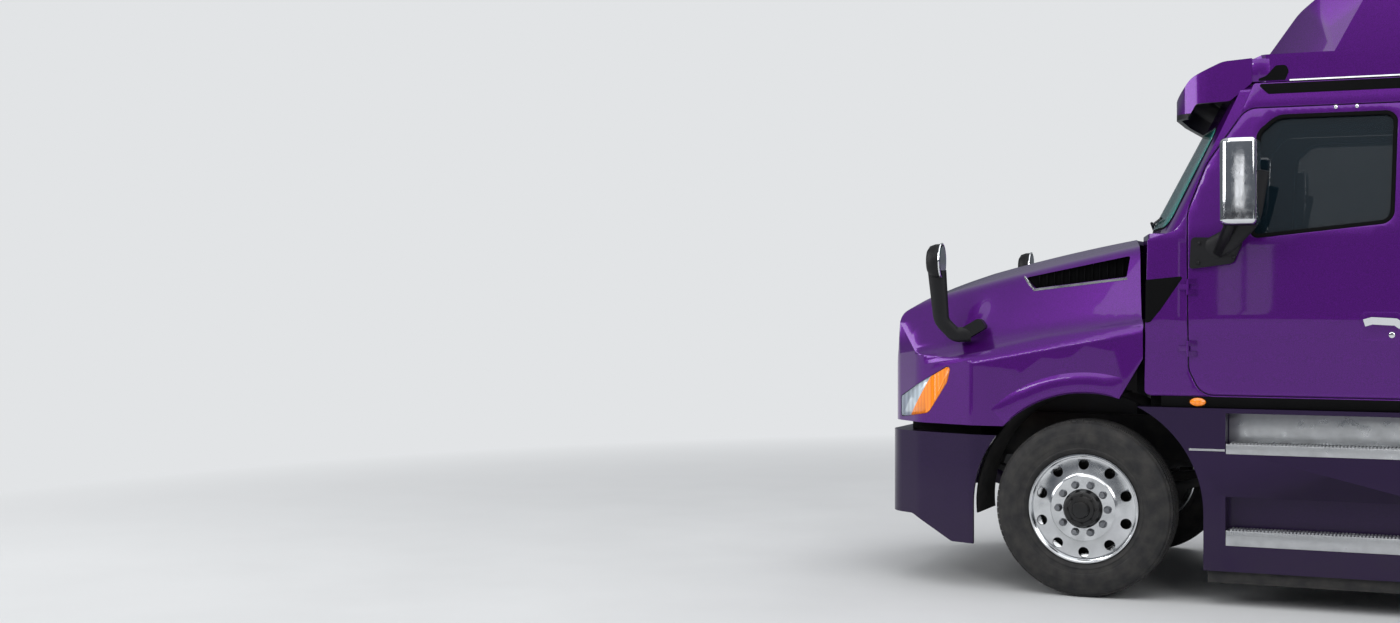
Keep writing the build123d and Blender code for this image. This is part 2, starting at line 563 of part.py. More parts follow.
def wheel_arch(radius):
    """Round opening across both front wheels."""
    return Pos(0, ARCH_Y, AXLE_Z) * Rot(0, 90, 0) * Cylinder(radius, 2 * WIDE)


def hood():
    """Hood shell: arches, slanted rear seam, grille and headlight openings, side vents."""
    shell = hood_form(0) - hood_form(SHELL)
    reach = block(-WIDE, WIDE, -1400, HOOD_REAR_Y, HOOD_LOWER_Z, 2400)
    shell &= reach
    lip = hood_form(0) & reach & wheel_arch(ARCH_R + 22)
    inner_x = HALF_WIDTH - FLARE_WIDTH
    shell += lip - block(-inner_x, inner_x, -1400, 1400, 0, 3000)
    shell -= wheel_arch(ARCH_R)
    rear_y, rear_z = HOOD_REAR_LOWER
    shell -= slab_x([(rear_y, rear_z - 300), (rear_y, rear_z), (HOOD_REAR_Y, HOOD_REAR_KINK_Z),
                     (HOOD_REAR_Y + 400, HOOD_REAR_KINK_Z), (HOOD_REAR_Y + 400, rear_z - 300)], -WIDE, WIDE)
    shell -= slab_z(cowl_plan(-COWL_GAP), 900, 2400)
    shell -= grille_opening(0)
    for side in (-1, 1):
        shell -= headlight_form(side, 0)
        shell -= vent_form(side)
        shell += hinge_lug(side)
    return shell


HINGE_EYE_X = 410.0
HINGE_EYE_R = 12.0
HINGE_PIN_R = 6.0


def hinge_lug(side):
    """Lug under the hood's front edge with the pin it tilts on."""
    y, z = HOOD_HINGE
    x0, x1 = sorted((side * (HINGE_EYE_X - 15), side * (HINGE_EYE_X + 15)))
    lug = slab_x([(y - 12, z), (y - 12, HOOD_LOWER_Z + 12), (y + 12, HOOD_LOWER_Z + 12), (y + 12, z)], x0, x1)
    lug += rod((x0, y, z), (x1, y, z), HINGE_EYE_R)
    return lug + rod((x0 - 14, y, z), (x1 + 14, y, z), HINGE_PIN_R)


def hinge_plates(side):
    """Pair of bored plates on the bumper's shelf that carry the hood's pin."""
    y, z = HOOD_HINGE
    plates = []
    for edge in (-1, 1):
        x0, x1 = sorted((side * HINGE_EYE_X + edge * 16, side * HINGE_EYE_X + edge * 28))
        foot = BUMPER_TOP_Z - 10
        plate = slab_x([(y - 12, foot), (y - 12, z), (y + 12, z), (y + 45, foot)], x0, x1)
        plate += rod((x0, y, z), (x1, y, z), HINGE_EYE_R)
        plates.append(plate - rod((x0 - 1, y, z), (x1 + 1, y, z), HINGE_PIN_R + TOUCH))
    return plates


GRILLE_TOP = (430.0, 1560.0)      # half width and z
GRILLE_LOWER = (520.0, 1010.0)
GRILLE_BORDER = 38.0
GRILLE_BARS = 7
GRILLE_BAR = 28.0


def grille_opening(inset):
    """Trapezoid through the front of the hood."""
    top_x, top_z = GRILLE_TOP
    low_x, low_z = GRILLE_LOWER
    half = [(low_x - inset, low_z + inset, 40), (top_x - inset, top_z - inset, 60)]
    return slab_y(symmetric(half), -1400, -1000)


# Lamp and vent in side view: y, z, rounding
HEADLIGHT_OUTLINE = ((-1195.0, 1000.0, 20.0), (-1195.0, 1130.0, 20.0), (-800.0, 1345.0, 20.0),
                     (-830.0, 1230.0, 60.0), (-960.0, 1040.0, 60.0))
VENT_OUTLINE = ((-410.0, 1860.0, 10.0), (-340.0, 1795.0, 10.0), (210.0, 1860.0, 10.0), (225.0, 1985.0, 10.0))


def headlight_form(side, inset):
    """Swept lamp opening at the hood's front corner."""
    x0, x1 = sorted((side * 820, side * WIDE))
    face = inset_face(outline(Plane.YZ.offset(x0), HEADLIGHT_OUTLINE), inset)
    return extrude(face, x1 - x0, dir=(1, 0, 0))


def vent_form(side):
    """Slanted vent high on the hood's side."""
    x0, x1 = sorted((side * 700, side * WIDE))
    return slab_x(VENT_OUTLINE, x0, x1)


LINER = 14.0
LINER_INNER_X = 640.0
LINER_REAR_Y = 180.0


def hood_liners():
    """Round wheel housings under the fenders, open towards the wheel."""
    x0, x1 = LINER_INNER_X, HALF_WIDTH - FLARE_WIDTH
    width = x1 - x0
    ring = Cylinder(ARCH_R + 2 + LINER, width) - Cylinder(ARCH_R + 2, width)
    band = Pos((x0 + x1) / 2, ARCH_Y, AXLE_Z) * Rot(0, 90, 0) * ring
    band &= block(x0, x1, -900, LINER_REAR_Y, HOOD_LOWER_Z, AXLE_Z + ARCH_R + 200)
    return [band, mirrored(band)]


def grille():
    """Frame and horizontal bars that fill the hood's front opening."""
    front, back = NOSE[0][0] + 22, NOSE[0][0] + 62
    top_x, top_z = GRILLE_TOP
    low_x, low_z = GRILLE_LOWER
    reach = grille_opening(TOUCH) & block(-800, 800, front, back, 900, 1700)
    opening = grille_opening(GRILLE_BORDER) & block(-800, 800, front - 10, back + 10, 900, 1700)
    body = reach - opening
    first, last = low_z + 70, top_z - 70
    for i in range(GRILLE_BARS):
        z = first + i * (last - first) / (GRILLE_BARS - 1)
        share = (z - low_z) / (top_z - low_z)
        half = low_x + (top_x - low_x) * share - GRILLE_BORDER + 8
        body += block(-half, half, front + 4, back - 4, z - GRILLE_BAR / 2, z + GRILLE_BAR / 2)
    for x in (-210.0, 210.0):
        body += block(x - 8, x + 8, front + 12, back - 6, low_z + 20, top_z - 20)
    return body


HEADLIGHT_RIM = 14.0            # how far the lamp's rim reaches behind the hood's shell
HEADLIGHT_DEPTH = 60.0


def headlights():
    """Lamp bodies with the hood's own surface as their lens, each with a rim seated behind the shell."""
    lens = hood_form(3) - hood_form(SHELL + HEADLIGHT_DEPTH)
    rim_band = hood_form(SHELL + TOUCH) - hood_form(SHELL + 12)
    lamps = []
    for side in (-1, 1):
        body = lens & headlight_form(side, SEAM - 2)
        lamps.append(body + (rim_band & headlight_form(side, -HEADLIGHT_RIM)))
    return lamps


# Bumper

BUMPER_TOP_Z = 925.0
BUMPER_LOWER_Z = 420.0
BUMPER_SIDE_LOWER_Z = 276.0
INTAKES_Z = (500.0, 590.0)
INTAKE_HALF = (480.0, 28.0)     # half width and half height of an intake slot


def bumper():
    """Wrap-round bumper shell, its rear edge following the wheel arch, with a lower intake."""
    def form(inset):
        plan = slab_z(nose_plan(-FRONT_OVERHANG, BUMPER_CORNER, inset), 200, 1000)
        side = slab_x([(-1400, BUMPER_LOWER_Z), (-1080, BUMPER_LOWER_Z, 60), (-800, BUMPER_SIDE_LOWER_Z, 40),
                       (-500, BUMPER_SIDE_LOWER_Z), (-500, BUMPER_TOP_Z), (-1400, BUMPER_TOP_Z)], -WIDE, WIDE)
        return plan & side
    shell = form(0) - form(SHELL)
    shelf = form(SHELL - 1) & block(-WIDE, WIDE, -1400, -900, BUMPER_TOP_Z - 20, BUMPER_TOP_Z)
    shell += shelf - block(-900, 900, -1120, -400, 0, 1000)
    shell -= wheel_arch(ARCH_R - 8)
    shell -= block(-WIDE, WIDE, ARCH_Y - ARCH_R + 8, 0, 0, AXLE_Z)
    shell -= block(-WIDE, WIDE, -500, 0, 0, 1000)
    half, rise = INTAKE_HALF
    for z in INTAKES_Z:
        shell -= slab_y([(-half, z - rise), (half, z - rise), (half, z + rise), (-half, z + rise)],
                        -1400, -1100, 20)
    for side in (-1, 1):
        lamp_x0, lamp_x1 = sorted((side * 620, side * 800))
        lamp = [(lamp_x0, 500), (lamp_x1, 500), (lamp_x1, 620), (lamp_x0, 620)]
        shell -= slab_y(lamp, -1400, -1090, 30)
        horn_x0, horn_x1 = sorted((side * (RAIL_X - 60), side * RAIL_X))
        shell += block(horn_x0, horn_x1, -FRONT_OVERHANG + SHELL - 3, RAIL_FRONT_Y, 780, 900)
        shell += hinge_plates(side)
    return shell


# Cab, doors and sleeper share one form. Half width and z of its front view:
CAB_SIDE = ((1158.0, FLOOR_Z, 20.0), (1172.0, 1640.0, 900.0), (1150.0, 2110.0, 240.0),
            (1035.0, GUTTER_Z, 60.0))
COWL_TOP_Z = 2105.0
SCREEN_RAKE = 28.0
ROOF_FRONT_Y = 880.0
DOOR_FRONT_Y = 590.0
DOOR_REAR_Y = 1800.0
DOOR_TOP_Z = 2812.0
DOOR_WALL = WALL - 8        # stops short of the sill it closes against
HINGE_X = 1182.0            # door hinge line, just outside the skin's widest point
HINGES_Z = (1450.0, 1800.0)   # both below the mirror's foot
BARREL_R = 8.0
DOOR_PIN_R = 4.0


# Plan lines, from the side to the middle: x, y behind the cowl at the sides, rounding
COWL_BOW = ((WIDE, 30.0, 0.0), (1000.0, -45.0, 400.0), (450.0, -170.0, 900.0))
SCREEN_BOW = ((WIDE, 175.0, 0.0), (1000.0, 0.0, 500.0), (450.0, -160.0, 900.0))


def bowed_plan(bow, shift, inset=0.0):
    """Outline of everything behind a bowed front line."""
    half = [(x - inset if x == WIDE else x, COWL_Y + shift + y, r) for x, y, r in bow]
    other = [(-x, y, r) for x, y, r in reversed(half)]
    return [(WIDE - inset, 9000), *half, *other, (inset - WIDE, 9000)]


def cowl_plan(shift, inset=0.0):
    """Plan outline of the cab below the windshield."""
    return bowed_plan(COWL_BOW, shift, inset)


def screen_prism(inset):
    """Curved windshield face leaning back, carried up along its rake."""
    rake = radians(SCREEN_RAKE)
    below = 200
    shift = SCREEN_SET + inset / cos(rake) - below * tan(rake)
    face = outline(Plane.XY.offset(COWL_TOP_Z - below), bowed_plan(SCREEN_BOW, shift, inset))
    height = ROOF_TOP_Z - COWL_TOP_Z
    return extrude(face, amount=height / cos(rake), dir=(0, sin(rake), cos(rake)))


@cache
def cab_form(inset, floor_open=False):
    """Solid cab with its skin moved inward by inset. With floor_open it runs down past the floor."""
    corners = [(x - inset, z, r) for x, z, r in CAB_SIDE]
    corners[0] = (corners[0][0], FLOOR_Z - 200 if floor_open else FLOOR_Z + inset, 0)
    corners[-1] = (corners[-1][0], GUTTER_Z - inset, CAB_SIDE[-1][2])
    body = slab_y(symmetric(corners), 0, BACK_OF_CAB)
    top = COWL_TOP_Z - inset
    lower = body & slab_z(cowl_plan(inset, inset), 0, top)
    upper = body & block(-WIDE, WIDE, 0, BACK_OF_CAB, top, 4000) & screen_prism(inset)
    return lower + upper


# Door outline in side view: y, z, rounding
DOOR_OUTLINE = ((DOOR_FRONT_Y, 1330.0, 120.0), (DOOR_FRONT_Y - 12, 2230.0, 250.0), (678.0, 2500.0, 300.0),
                (890.0, DOOR_TOP_Z, 120.0), (DOOR_REAR_Y, DOOR_TOP_Z, 90.0), (DOOR_REAR_Y, FLOOR_Z + 4, 60.0),
                (660.0, FLOOR_Z + 4, 110.0))
WINDOW_OUTLINE = ((925.0, 2072.0, 40.0), (955.0, 2670.0, 90.0), (1060.0, 2762.0, 120.0),
                  (1690.0, 2762.0, 60.0), (1675.0, 2150.0, 70.0))
GLASS = 6.0
GLASS_GAP = 0.5             # pane's edge to its opening
DOOR_GLASS_SET = 24.0       # panes behind the skin
SCREEN_GLASS_SET = 14.0
SLEEPER_GLASS_SET = 18.0


def door_prism(inset, x0, x1):
    """Prism of the door's outline, its edge moved inward."""
    face = outline(Plane.YZ.offset(x0), DOOR_OUTLINE)
    return extrude(inset_face(face, inset), x1 - x0, dir=(1, 0, 0))


def window_prism(inset, x0, x1):
    """Prism of the side window."""
    face = outline(Plane.YZ.offset(x0), WINDOW_OUTLINE)
    return extrude(inset_face(face, inset), x1 - x0, dir=(1, 0, 0))


def door_hinge(z, direction):
    """Half of a door hinge: direction 1 is the door's, with two barrels and the pin, -1 the cab's."""
    y = DOOR_FRONT_Y
    leaf = 15.0
    spans = [(-3 * leaf, -leaf - 1), (leaf + 1, 3 * leaf)] if direction > 0 else [(-leaf, leaf)]
    low_end, high_end = (HINGE_X, y, z - 3 * leaf), (HINGE_X, y, z + 3 * leaf)
    near, foot, far = y, y + direction * 14, y + direction * 50
    barrels = []
    for low, high in spans:
        barrel = rod((HINGE_X, y, z + low), (HINGE_X, y, z + high), BARREL_R)
        barrel += block(HINGE_X - BARREL_R, HINGE_X, *sorted((near, far)), z + low, z + high)
        barrel += block(HINGE_X - 40, HINGE_X, *sorted((foot, far)), z + low, z + high)
        barrels.append(barrel)
    if direction > 0:
        return rod(low_end, high_end, DOOR_PIN_R) + barrels
    return barrels[0] - rod(low_end, high_end, DOOR_PIN_R + TOUCH)


def door():
    """Left door: the cab's own wall between the seams, window cut, handle recess."""
    wall = cab_form(0) - cab_form(DOOR_WALL, True)
    panel = wall & door_prism(SEAM, 800, WIDE)
    panel -= window_prism(0, 800, WIDE)
    for z in HINGES_Z:
        panel += door_hinge(z, 1)
    return panel


def door_glass():
    """Side window pane in the middle of the door's wall."""
    pane = cab_form(DOOR_GLASS_SET) - cab_form(DOOR_GLASS_SET + GLASS)
    return pane & window_prism(GLASS_GAP, 700, WIDE)


SCREEN_SIDE_X = 985.0
SCREEN_TOP_Z = 2700.0


def screen_opening(inset):
    """Windshield opening in front view."""
    half = [(SCREEN_SIDE_X - inset, COWL_TOP_Z + 45 + inset, 60),
            (SCREEN_SIDE_X - 60 - inset, SCREEN_TOP_Z - inset, 80)]
    return slab_y(symmetric(half), 0, 860)


def cab():
    """Cab shell with door, windshield and rear openings."""
    shell = cab_form(0) - cab_form(WALL)
    rear = [(x - WALL, z, r) for x, z, r in CAB_SIDE]
    rear[0] = (rear[0][0], FLOOR_Z + WALL, 0)
    rear[-1] = (rear[-1][0], GUTTER_Z - WALL, CAB_SIDE[-1][2])
    shell -= slab_y(symmetric(rear), BACK_OF_CAB - 200, BACK_OF_CAB + 1)
    for side in (-1, 1):
        x0, x1 = sorted((side * 800, side * WIDE))
        shell -= door_prism(0, x0, x1) - cab_form(WALL, True)
    for z in HINGES_Z:
        half = door_hinge(z, -1)
        shell += [half, mirrored(half)]
    return shell - screen_opening(0)


def windshield():
    """Curved laminated windshield."""
    pane = cab_form(SCREEN_GLASS_SET) - cab_form(SCREEN_GLASS_SET + GLASS)
    pane &= screen_opening(GLASS_GAP)
    return pane & block(-1000, 1000, 0, 860, COWL_TOP_Z, 2900)


# Sleeper window's y and z range
SLEEPER_WINDOW = (SLEEPER_REAR - 1000, SLEEPER_REAR - 600, 2280.0, 2640.0)


def sleeper_window(inset):
    """Prism of one sleeper side window."""
    y0, y1, z0, z1 = SLEEPER_WINDOW
    corners = [(y0, z0), (y1, z0), (y1, z1), (y0, z1)]
    face = inset_face(outline(Plane.YZ.offset(-WIDE), corners, 70), inset)
    return extrude(face, 2 * WIDE, dir=(1, 0, 0))


def sleeper():
    """Sleeper box, open to the cab and to the raised roof."""
    front = BACK_OF_CAB + SEAM
    side = [(x, z, r) for x, z, r in CAB_SIDE]
    side[-1] = (side[-1][0], GUTTER_Z, 0)
    outer = slab_y(symmetric(side), front, SLEEPER_REAR)
    inner_side = [(x - WALL, z, r) for x, z, r in CAB_SIDE]
    inner_side[0] = (inner_side[0][0], FLOOR_Z + WALL, 0)
    inner_side[-1] = (inner_side[-1][0], GUTTER_Z, 0)
    shell = outer - slab_y(symmetric(inner_side), front, SLEEPER_REAR - WALL)
    return shell - sleeper_window(0)


def sleeper_windows():
    """Panes of the sleeper's side windows."""
    y0, y1 = BACK_OF_CAB, SLEEPER_REAR
    corners = [(x - SLEEPER_GLASS_SET, z, r) for x, z, r in CAB_SIDE]
    inner = [(x - GLASS, z, r) for x, z, r in corners]
    pane = slab_y(symmetric(corners), y0, y1) - slab_y(symmetric(inner), y0, y1)
    pane &= sleeper_window(GLASS_GAP)
    return pane.solids()


# Raised roof. Side view corners: y, z, rounding
ROOF_SIDE = ((ROOF_FRONT_Y, GUTTER_Z + TOUCH, 0.0), (ROOF_FRONT_Y + 8, 3085.0, 30.0), (980.0, 3112.0, 60.0),
             (1165.0, 3345.0, 300.0), (1860.0, 3850.0, 900.0), (SLEEPER_REAR - 880, ROOF_TOP_Z + 60, 900.0),
             (SLEEPER_REAR, ROOF_TOP_Z + 60, 0.0), (SLEEPER_REAR, GUTTER_Z + TOUCH, 0.0))


SKIRT_TOP_Z = 3110.0        # the roof's lower band runs full width up to here


def plan_of(half, shoulder_y, radius, front_half, inset):
    """Plan outline of the roof: sides, slanted shoulders and flat front."""
    side = [(half, 5000), (half, shoulder_y, radius), (front_half, ROOF_FRONT_Y + inset, 80)]
    return [*side, *[(-x, *rest) for x, *rest in reversed(side)]]


def roof_form(inset, drop=0.0):
    """Solid raised roof with its skin moved inward."""
    face = outline(Plane.YZ.offset(-WIDE), ROOF_SIDE)
    body = extrude(inset_face(face, inset), 2 * WIDE, dir=(1, 0, 0))
    if drop:
        body += block(-WIDE, WIDE, ROOF_FRONT_Y + inset, SLEEPER_REAR - inset,
                      GUTTER_Z - drop, GUTTER_Z + inset + 20)
    top = ROOF_TOP_Z - inset
    side_x = CAB_SIDE[-1][0] - inset
    half = [(side_x, GUTTER_Z - 200), (side_x, SKIRT_TOP_Z - inset, 0), (side_x - 55, top - 160, 160),
            (side_x - 235, top - 35, 220), (0, top, 4000)]
    body &= slab_y(symmetric(half), 0, 5000)
    upper = slab_z(plan_of(1200 - inset, 1700, 600, 800 - inset, inset), 2000, 4200)
    skirt = slab_z(plan_of(1200 - inset, 1250, 60, 960 - inset, inset), 2000, SKIRT_TOP_Z - inset)
    return body & (upper + skirt)


def roof():
    """Raised roof shell."""
    return roof_form(0) - roof_form(40, 100)


VISOR = 28.0                # thickness of the visor's shell


def sun_visor():
    """Swept visor over the windshield."""
    rear = ROOF_FRONT_Y + 40
    top = SKIRT_TOP_Z - 12

    def form(inset):
        side = [(455, 2600), (455, 2790, 40), (480, 2880, 60), (575, 3000, 140), (760, top - 15, 150),
                (rear + 100, top + 2), (rear + 100, 2600)]
        body = extrude(inset_face(outline(Plane.YZ.offset(-WIDE), side), inset), 2 * WIDE, dir=(1, 0, 0))
        half = [(1040 - inset, rear + 100), (1038 - inset, 640, 170), (940 - inset, 480 + inset, 180),
                (400, 455 + inset, 900)]
        return body & slab_z([*half, *[(-x, *rest) for x, *rest in reversed(half)]], 2500, 3300)

    lower_edge = [(300, 2770), (560, 2770, 10), (610, 2850, 25), (800, 2856, 25), (rear, 2952, 20)]
    keep = slab_x([*lower_edge, (rear, 3300), (300, 3300)], -WIDE, WIDE)
    return ((form(0) - form(VISOR)) & keep) - cab_form(-TOUCH) - roof_form(-TOUCH)


# Inside of the cab

def dashboard():
    """Dash panel across the cab with an instrument hood."""
    y0 = COWL_Y + WALL
    side = [(0, 1560), (0, 2040), (y0 + 330, 2040, 60), (y0 + 400, 1930, 60), (y0 + 300, 1620, 60)]
    return slab_x(side, -1085, 1085) & cab_form(WALL + TOUCH)


SEAT_X = 560.0
SEAT_Y = 1330.0


def seats():
    """Driver and passenger seats on air pedestals, armrests and head restraints included."""
    floor = FLOOR_Z + WALL
    base = block(-190, 190, SEAT_Y - 200, SEAT_Y + 180, floor, floor + 260)
    cushion = slab_x([(SEAT_Y - 290, floor + 260, 20), (SEAT_Y - 300, floor + 390, 60),
                      (SEAT_Y + 220, floor + 370, 40), (SEAT_Y + 240, floor + 260, 20)], -250, 250)
    back = slab_x([(SEAT_Y + 170, floor + 330), (SEAT_Y + 310, floor + 1040, 40),
                   (SEAT_Y + 410, floor + 1040, 40), (SEAT_Y + 320, floor + 330)], -240, 240)
    head = slab_x([(SEAT_Y + 310, floor + 1000), (SEAT_Y + 335, floor + 1230, 40),
                   (SEAT_Y + 425, floor + 1230, 40), (SEAT_Y + 400, floor + 1000)], -150, 150)
    seat = base + cushion + back + head
    return [Pos(side * SEAT_X, 0, 0) * seat for side in (-1, 1)]


def bunk():
    """Lower bunk base and mattress across the back of the sleeper."""
    floor = FLOOR_Z + WALL
    y1 = SLEEPER_REAR - WALL - TOUCH
    y0 = y1 - 980
    base = block(-1060, 1060, y0 + 20, y1, floor, floor + 420)
    pad = slab_x([(y0, floor + 420, 20), (y0, floor + 600, 60), (y1, floor + 600, 40),
                  (y1, floor + 420, 20)], -1050, 1050)
    return base + pad


def steering_wheel():
    """Rim, spokes and column, leaning towards the driver."""
    ring = Torus(215, 17)
    spokes = [Rot(0, 0, a) * block(0, 210, -16, 16, -10, 8) for a in (90, 210, 330)]
    boss = Cylinder(60, 50)
    column = Pos(0, 0, -230) * Cylinder(38, 420)
    wheel = ring + spokes + boss + column
    return Pos(SEAT_X, COWL_Y + WALL + 540, 2000) * Rot(-38, 0, 0) * wheel - dashboard()


# Side panels: chassis fairings with steps, side extenders behind the sleeper

FAIRING_TOP_Z = 1115.0
FAIRING_LOWER_Z = 200.0
FAIRING_REAR_Y = 4450.0
FAIRING_DEPTH = 150.0
STEP_Y = (ARCH_Y + ARCH_R + 120, BACK_OF_CAB - 50)
UPPER_STEP_Z = 915.0
LOWER_STEP_Z = 430.0
TREAD = 30.0                # thickness of a step
TREAD_SLOTS = 10


def fairing():
    """Left chassis fairing: a pan open to the inside, with two step recesses."""
    front = ARCH_Y + ARCH_R
    outer = [(ARCH_Y, FAIRING_TOP_Z), (ARCH_Y, AXLE_Z), (front, AXLE_Z), (front, FAIRING_LOWER_Z),
             (FAIRING_REAR_Y - 60, FAIRING_LOWER_Z, 80), (FAIRING_REAR_Y, FAIRING_TOP_Z, 40)]
    x_in = HALF_WIDTH - FAIRING_DEPTH
    form = slab_x(outer, x_in, HALF_WIDTH) - wheel_arch(ARCH_R)
    hollow = slab_x(outer, x_in - 1, HALF_WIDTH - SHELL)
    hollow &= block(x_in - 1, HALF_WIDTH, 0, FAIRING_REAR_Y - SHELL - 20,
                    FAIRING_LOWER_Z + SHELL, FAIRING_TOP_Z - SHELL)
    hollow -= wheel_arch(ARCH_R + SHELL)
    y0, y1 = STEP_Y
    upper = (x_in + SHELL, HALF_WIDTH + 1, y0, y1, UPPER_STEP_Z - TREAD, FAIRING_TOP_Z - 26)
    lower = (x_in + SHELL, HALF_WIDTH + 1, y0, y1, LOWER_STEP_Z - TREAD, LOWER_STEP_Z + 190)
    for x0, x1, ya, yb, za, zb in (upper, lower):
        hollow -= block(x0 - SHELL - 2, x1, ya - SHELL, yb + SHELL, za - SHELL, zb + SHELL)
    form -= hollow
    for recess in (upper, lower):
        form -= block(*recess)
    return form


def step_treads():
    """Treads on the floor of each step recess."""
    pieces = []
    x_in = HALF_WIDTH - FAIRING_DEPTH + SHELL
    y0, y1 = STEP_Y
    for z in (UPPER_STEP_Z, LOWER_STEP_Z):
        tread = block(x_in, HALF_WIDTH, y0, y1, z - TREAD, z)
        for i in range(TREAD_SLOTS):
            y = y0 + 60 + i * (y1 - y0 - 120) / (TREAD_SLOTS - 1)
            tread -= block(x_in + 30, HALF_WIDTH - 30, y - 22, y + 22, z - 8, z + 1)
        pieces += [tread, mirrored(tread)]
    return pieces


EXTENDER = 30.0             # thickness of a side extender
EXTENDER_REACH = 400.0


def side_extenders():
    """Upright panels that close the gap to the trailer."""
    y0, y1 = SLEEPER_REAR + TOUCH, SLEEPER_REAR + EXTENDER_REACH
    side = [(y0, 1300, 10), (y1, 1330, 60), (y1, 3700, 120), (y0, 3800, 10)]
    skin = [(1158, 1100), (1172, 1640, 900), (1150, 2110, 240), (1030, GUTTER_Z, 300), (1005, 3900)]
    section = [*skin, *[(x - EXTENDER, *rest) for x, *rest in reversed(skin)]]
    panel = slab_x(side, 900, 1200) & slab_y(section, y0, y1)
    return [panel, mirrored(panel)]


# Rear end

FLAP_Y = WHEELBASE + REAR_OVERHANG
FLAP_X = (600.0, 1215.0)
FLAP_TOP_Z = 960.0
FLAP_BOTTOM_Z = 230.0
FLAP_ARM = 40.0


def mud_flaps():
    """Flaps on hanger arms behind the last axle."""
    pieces = []
    for side in (-1, 1):
        arm_z1 = FLAP_TOP_Z - 5
        arm_z0 = arm_z1 - FLAP_ARM
        x0, x1 = sorted((side * FLAP_X[0], side * FLAP_X[1]))
        flap = block(x0, x1, FLAP_Y - 10, FLAP_Y, FLAP_BOTTOM_Z, FLAP_TOP_Z)
        arm_x0, arm_x1 = sorted((side * RAIL_X, side * FLAP_X[1]))
        arm = block(arm_x0, arm_x1, FLAP_Y - 10 - FLAP_ARM, FLAP_Y - 10, arm_z0, arm_z1)
        root_x0, root_x1 = sorted((side * RAIL_X, side * (RAIL_X + FLAP_ARM)))
        root = block(root_x0, root_x1, RAIL_REAR_Y - 120, FLAP_Y - 10, arm_z0, arm_z1)
        pieces.append(flap + arm + root)
    return pieces


TAIL_LAMP_R = 52.0


def tail_lights():
    """Lamp bar across the frame's end."""
    bar = block(-RAIL_X, RAIL_X, RAIL_REAR_Y, RAIL_REAR_Y + 12, RAIL_BOTTOM_Z + 20, RAIL_TOP_Z - 20)
    lamp_z = (RAIL_BOTTOM_Z + RAIL_TOP_Z) / 2 - 5
    for side in (-1, 1):
        for x in (RAIL_X - 180, RAIL_X - 60):
            bar += Pos(side * x, RAIL_REAR_Y + 12, lamp_z) * Rot(-90, 0, 0) * Cylinder(
                TAIL_LAMP_R, 28, align=(Align.CENTER, Align.CENTER, Align.MIN))
    return bar


def deck_plate():
    """Tread plate on the rails behind the sleeper."""
    half = RAIL_X + 30
    y0, y1 = SLEEPER_REAR + 120, SLEEPER_REAR + 620
    return block(-half, half, y0, y1, RAIL_TOP_Z, RAIL_TOP_Z + 12)


# Mirrors

def door_mirror():
    """Left door mirror: foot on the door, arm and tall head."""
    foot = slab_x([(600, 1900, 15), (610, 2080, 25), (900, 2070, 30), (840, 1930, 40)], 1100, 1195)
    foot -= cab_form(-TOUCH)
    arm = tube([(1186, 760, 1990), (1290, 840, 2150), (1390, 930, 2340)], 34, 90)
    head = slab_z([(1290, 778, 60), (1500, 808, 70), (1500, 1000, 25), (1290, 1000, 25)], 2135, 2612)
    head = fillet(head.edges().group_by(Axis.Z)[-1], 30)
    head = fillet(head.edges().group_by(Axis.Z)[0], 30)
    return foot + arm + head


def hood_mirrors():
    """Small round-cornered mirrors on stalks over the hood's front corners."""
    foot = slab_x([(-780, 1450, 10), (-770, 1540, 20), (-640, 1620, 20), (-600, 1560, 20)], 1040, 1100)
    stalk = tube([(1075, -720, 1530), (1120, -840, 1560), (1120, -870, 1900)], 26, 60)
    head = slab_z([(1060, -950, 40), (1210, -940, 40), (1210, -860, 20), (1060, -860, 20)], 1860, 2060)
    mirror_left = foot + stalk + head
    mirror_left -= hood_form(-TOUCH)
    return [mirror_left, mirrored(mirror_left)]


def radiator():
    """Radiator and charge cooler pack on the rails behind the grille."""
    half = RAIL_X + 10
    return slab_y([(-half, RAIL_TOP_Z), (half, RAIL_TOP_Z), (half, 1640, 40), (-half, 1640, 40)], -1010, -870)


# Assembly. Each node is one file.

def wheel_place(x, y):
    """Where a wheel drawn at the origin goes. The right side is mirrored."""
    return Pos(x, y, AXLE_Z)


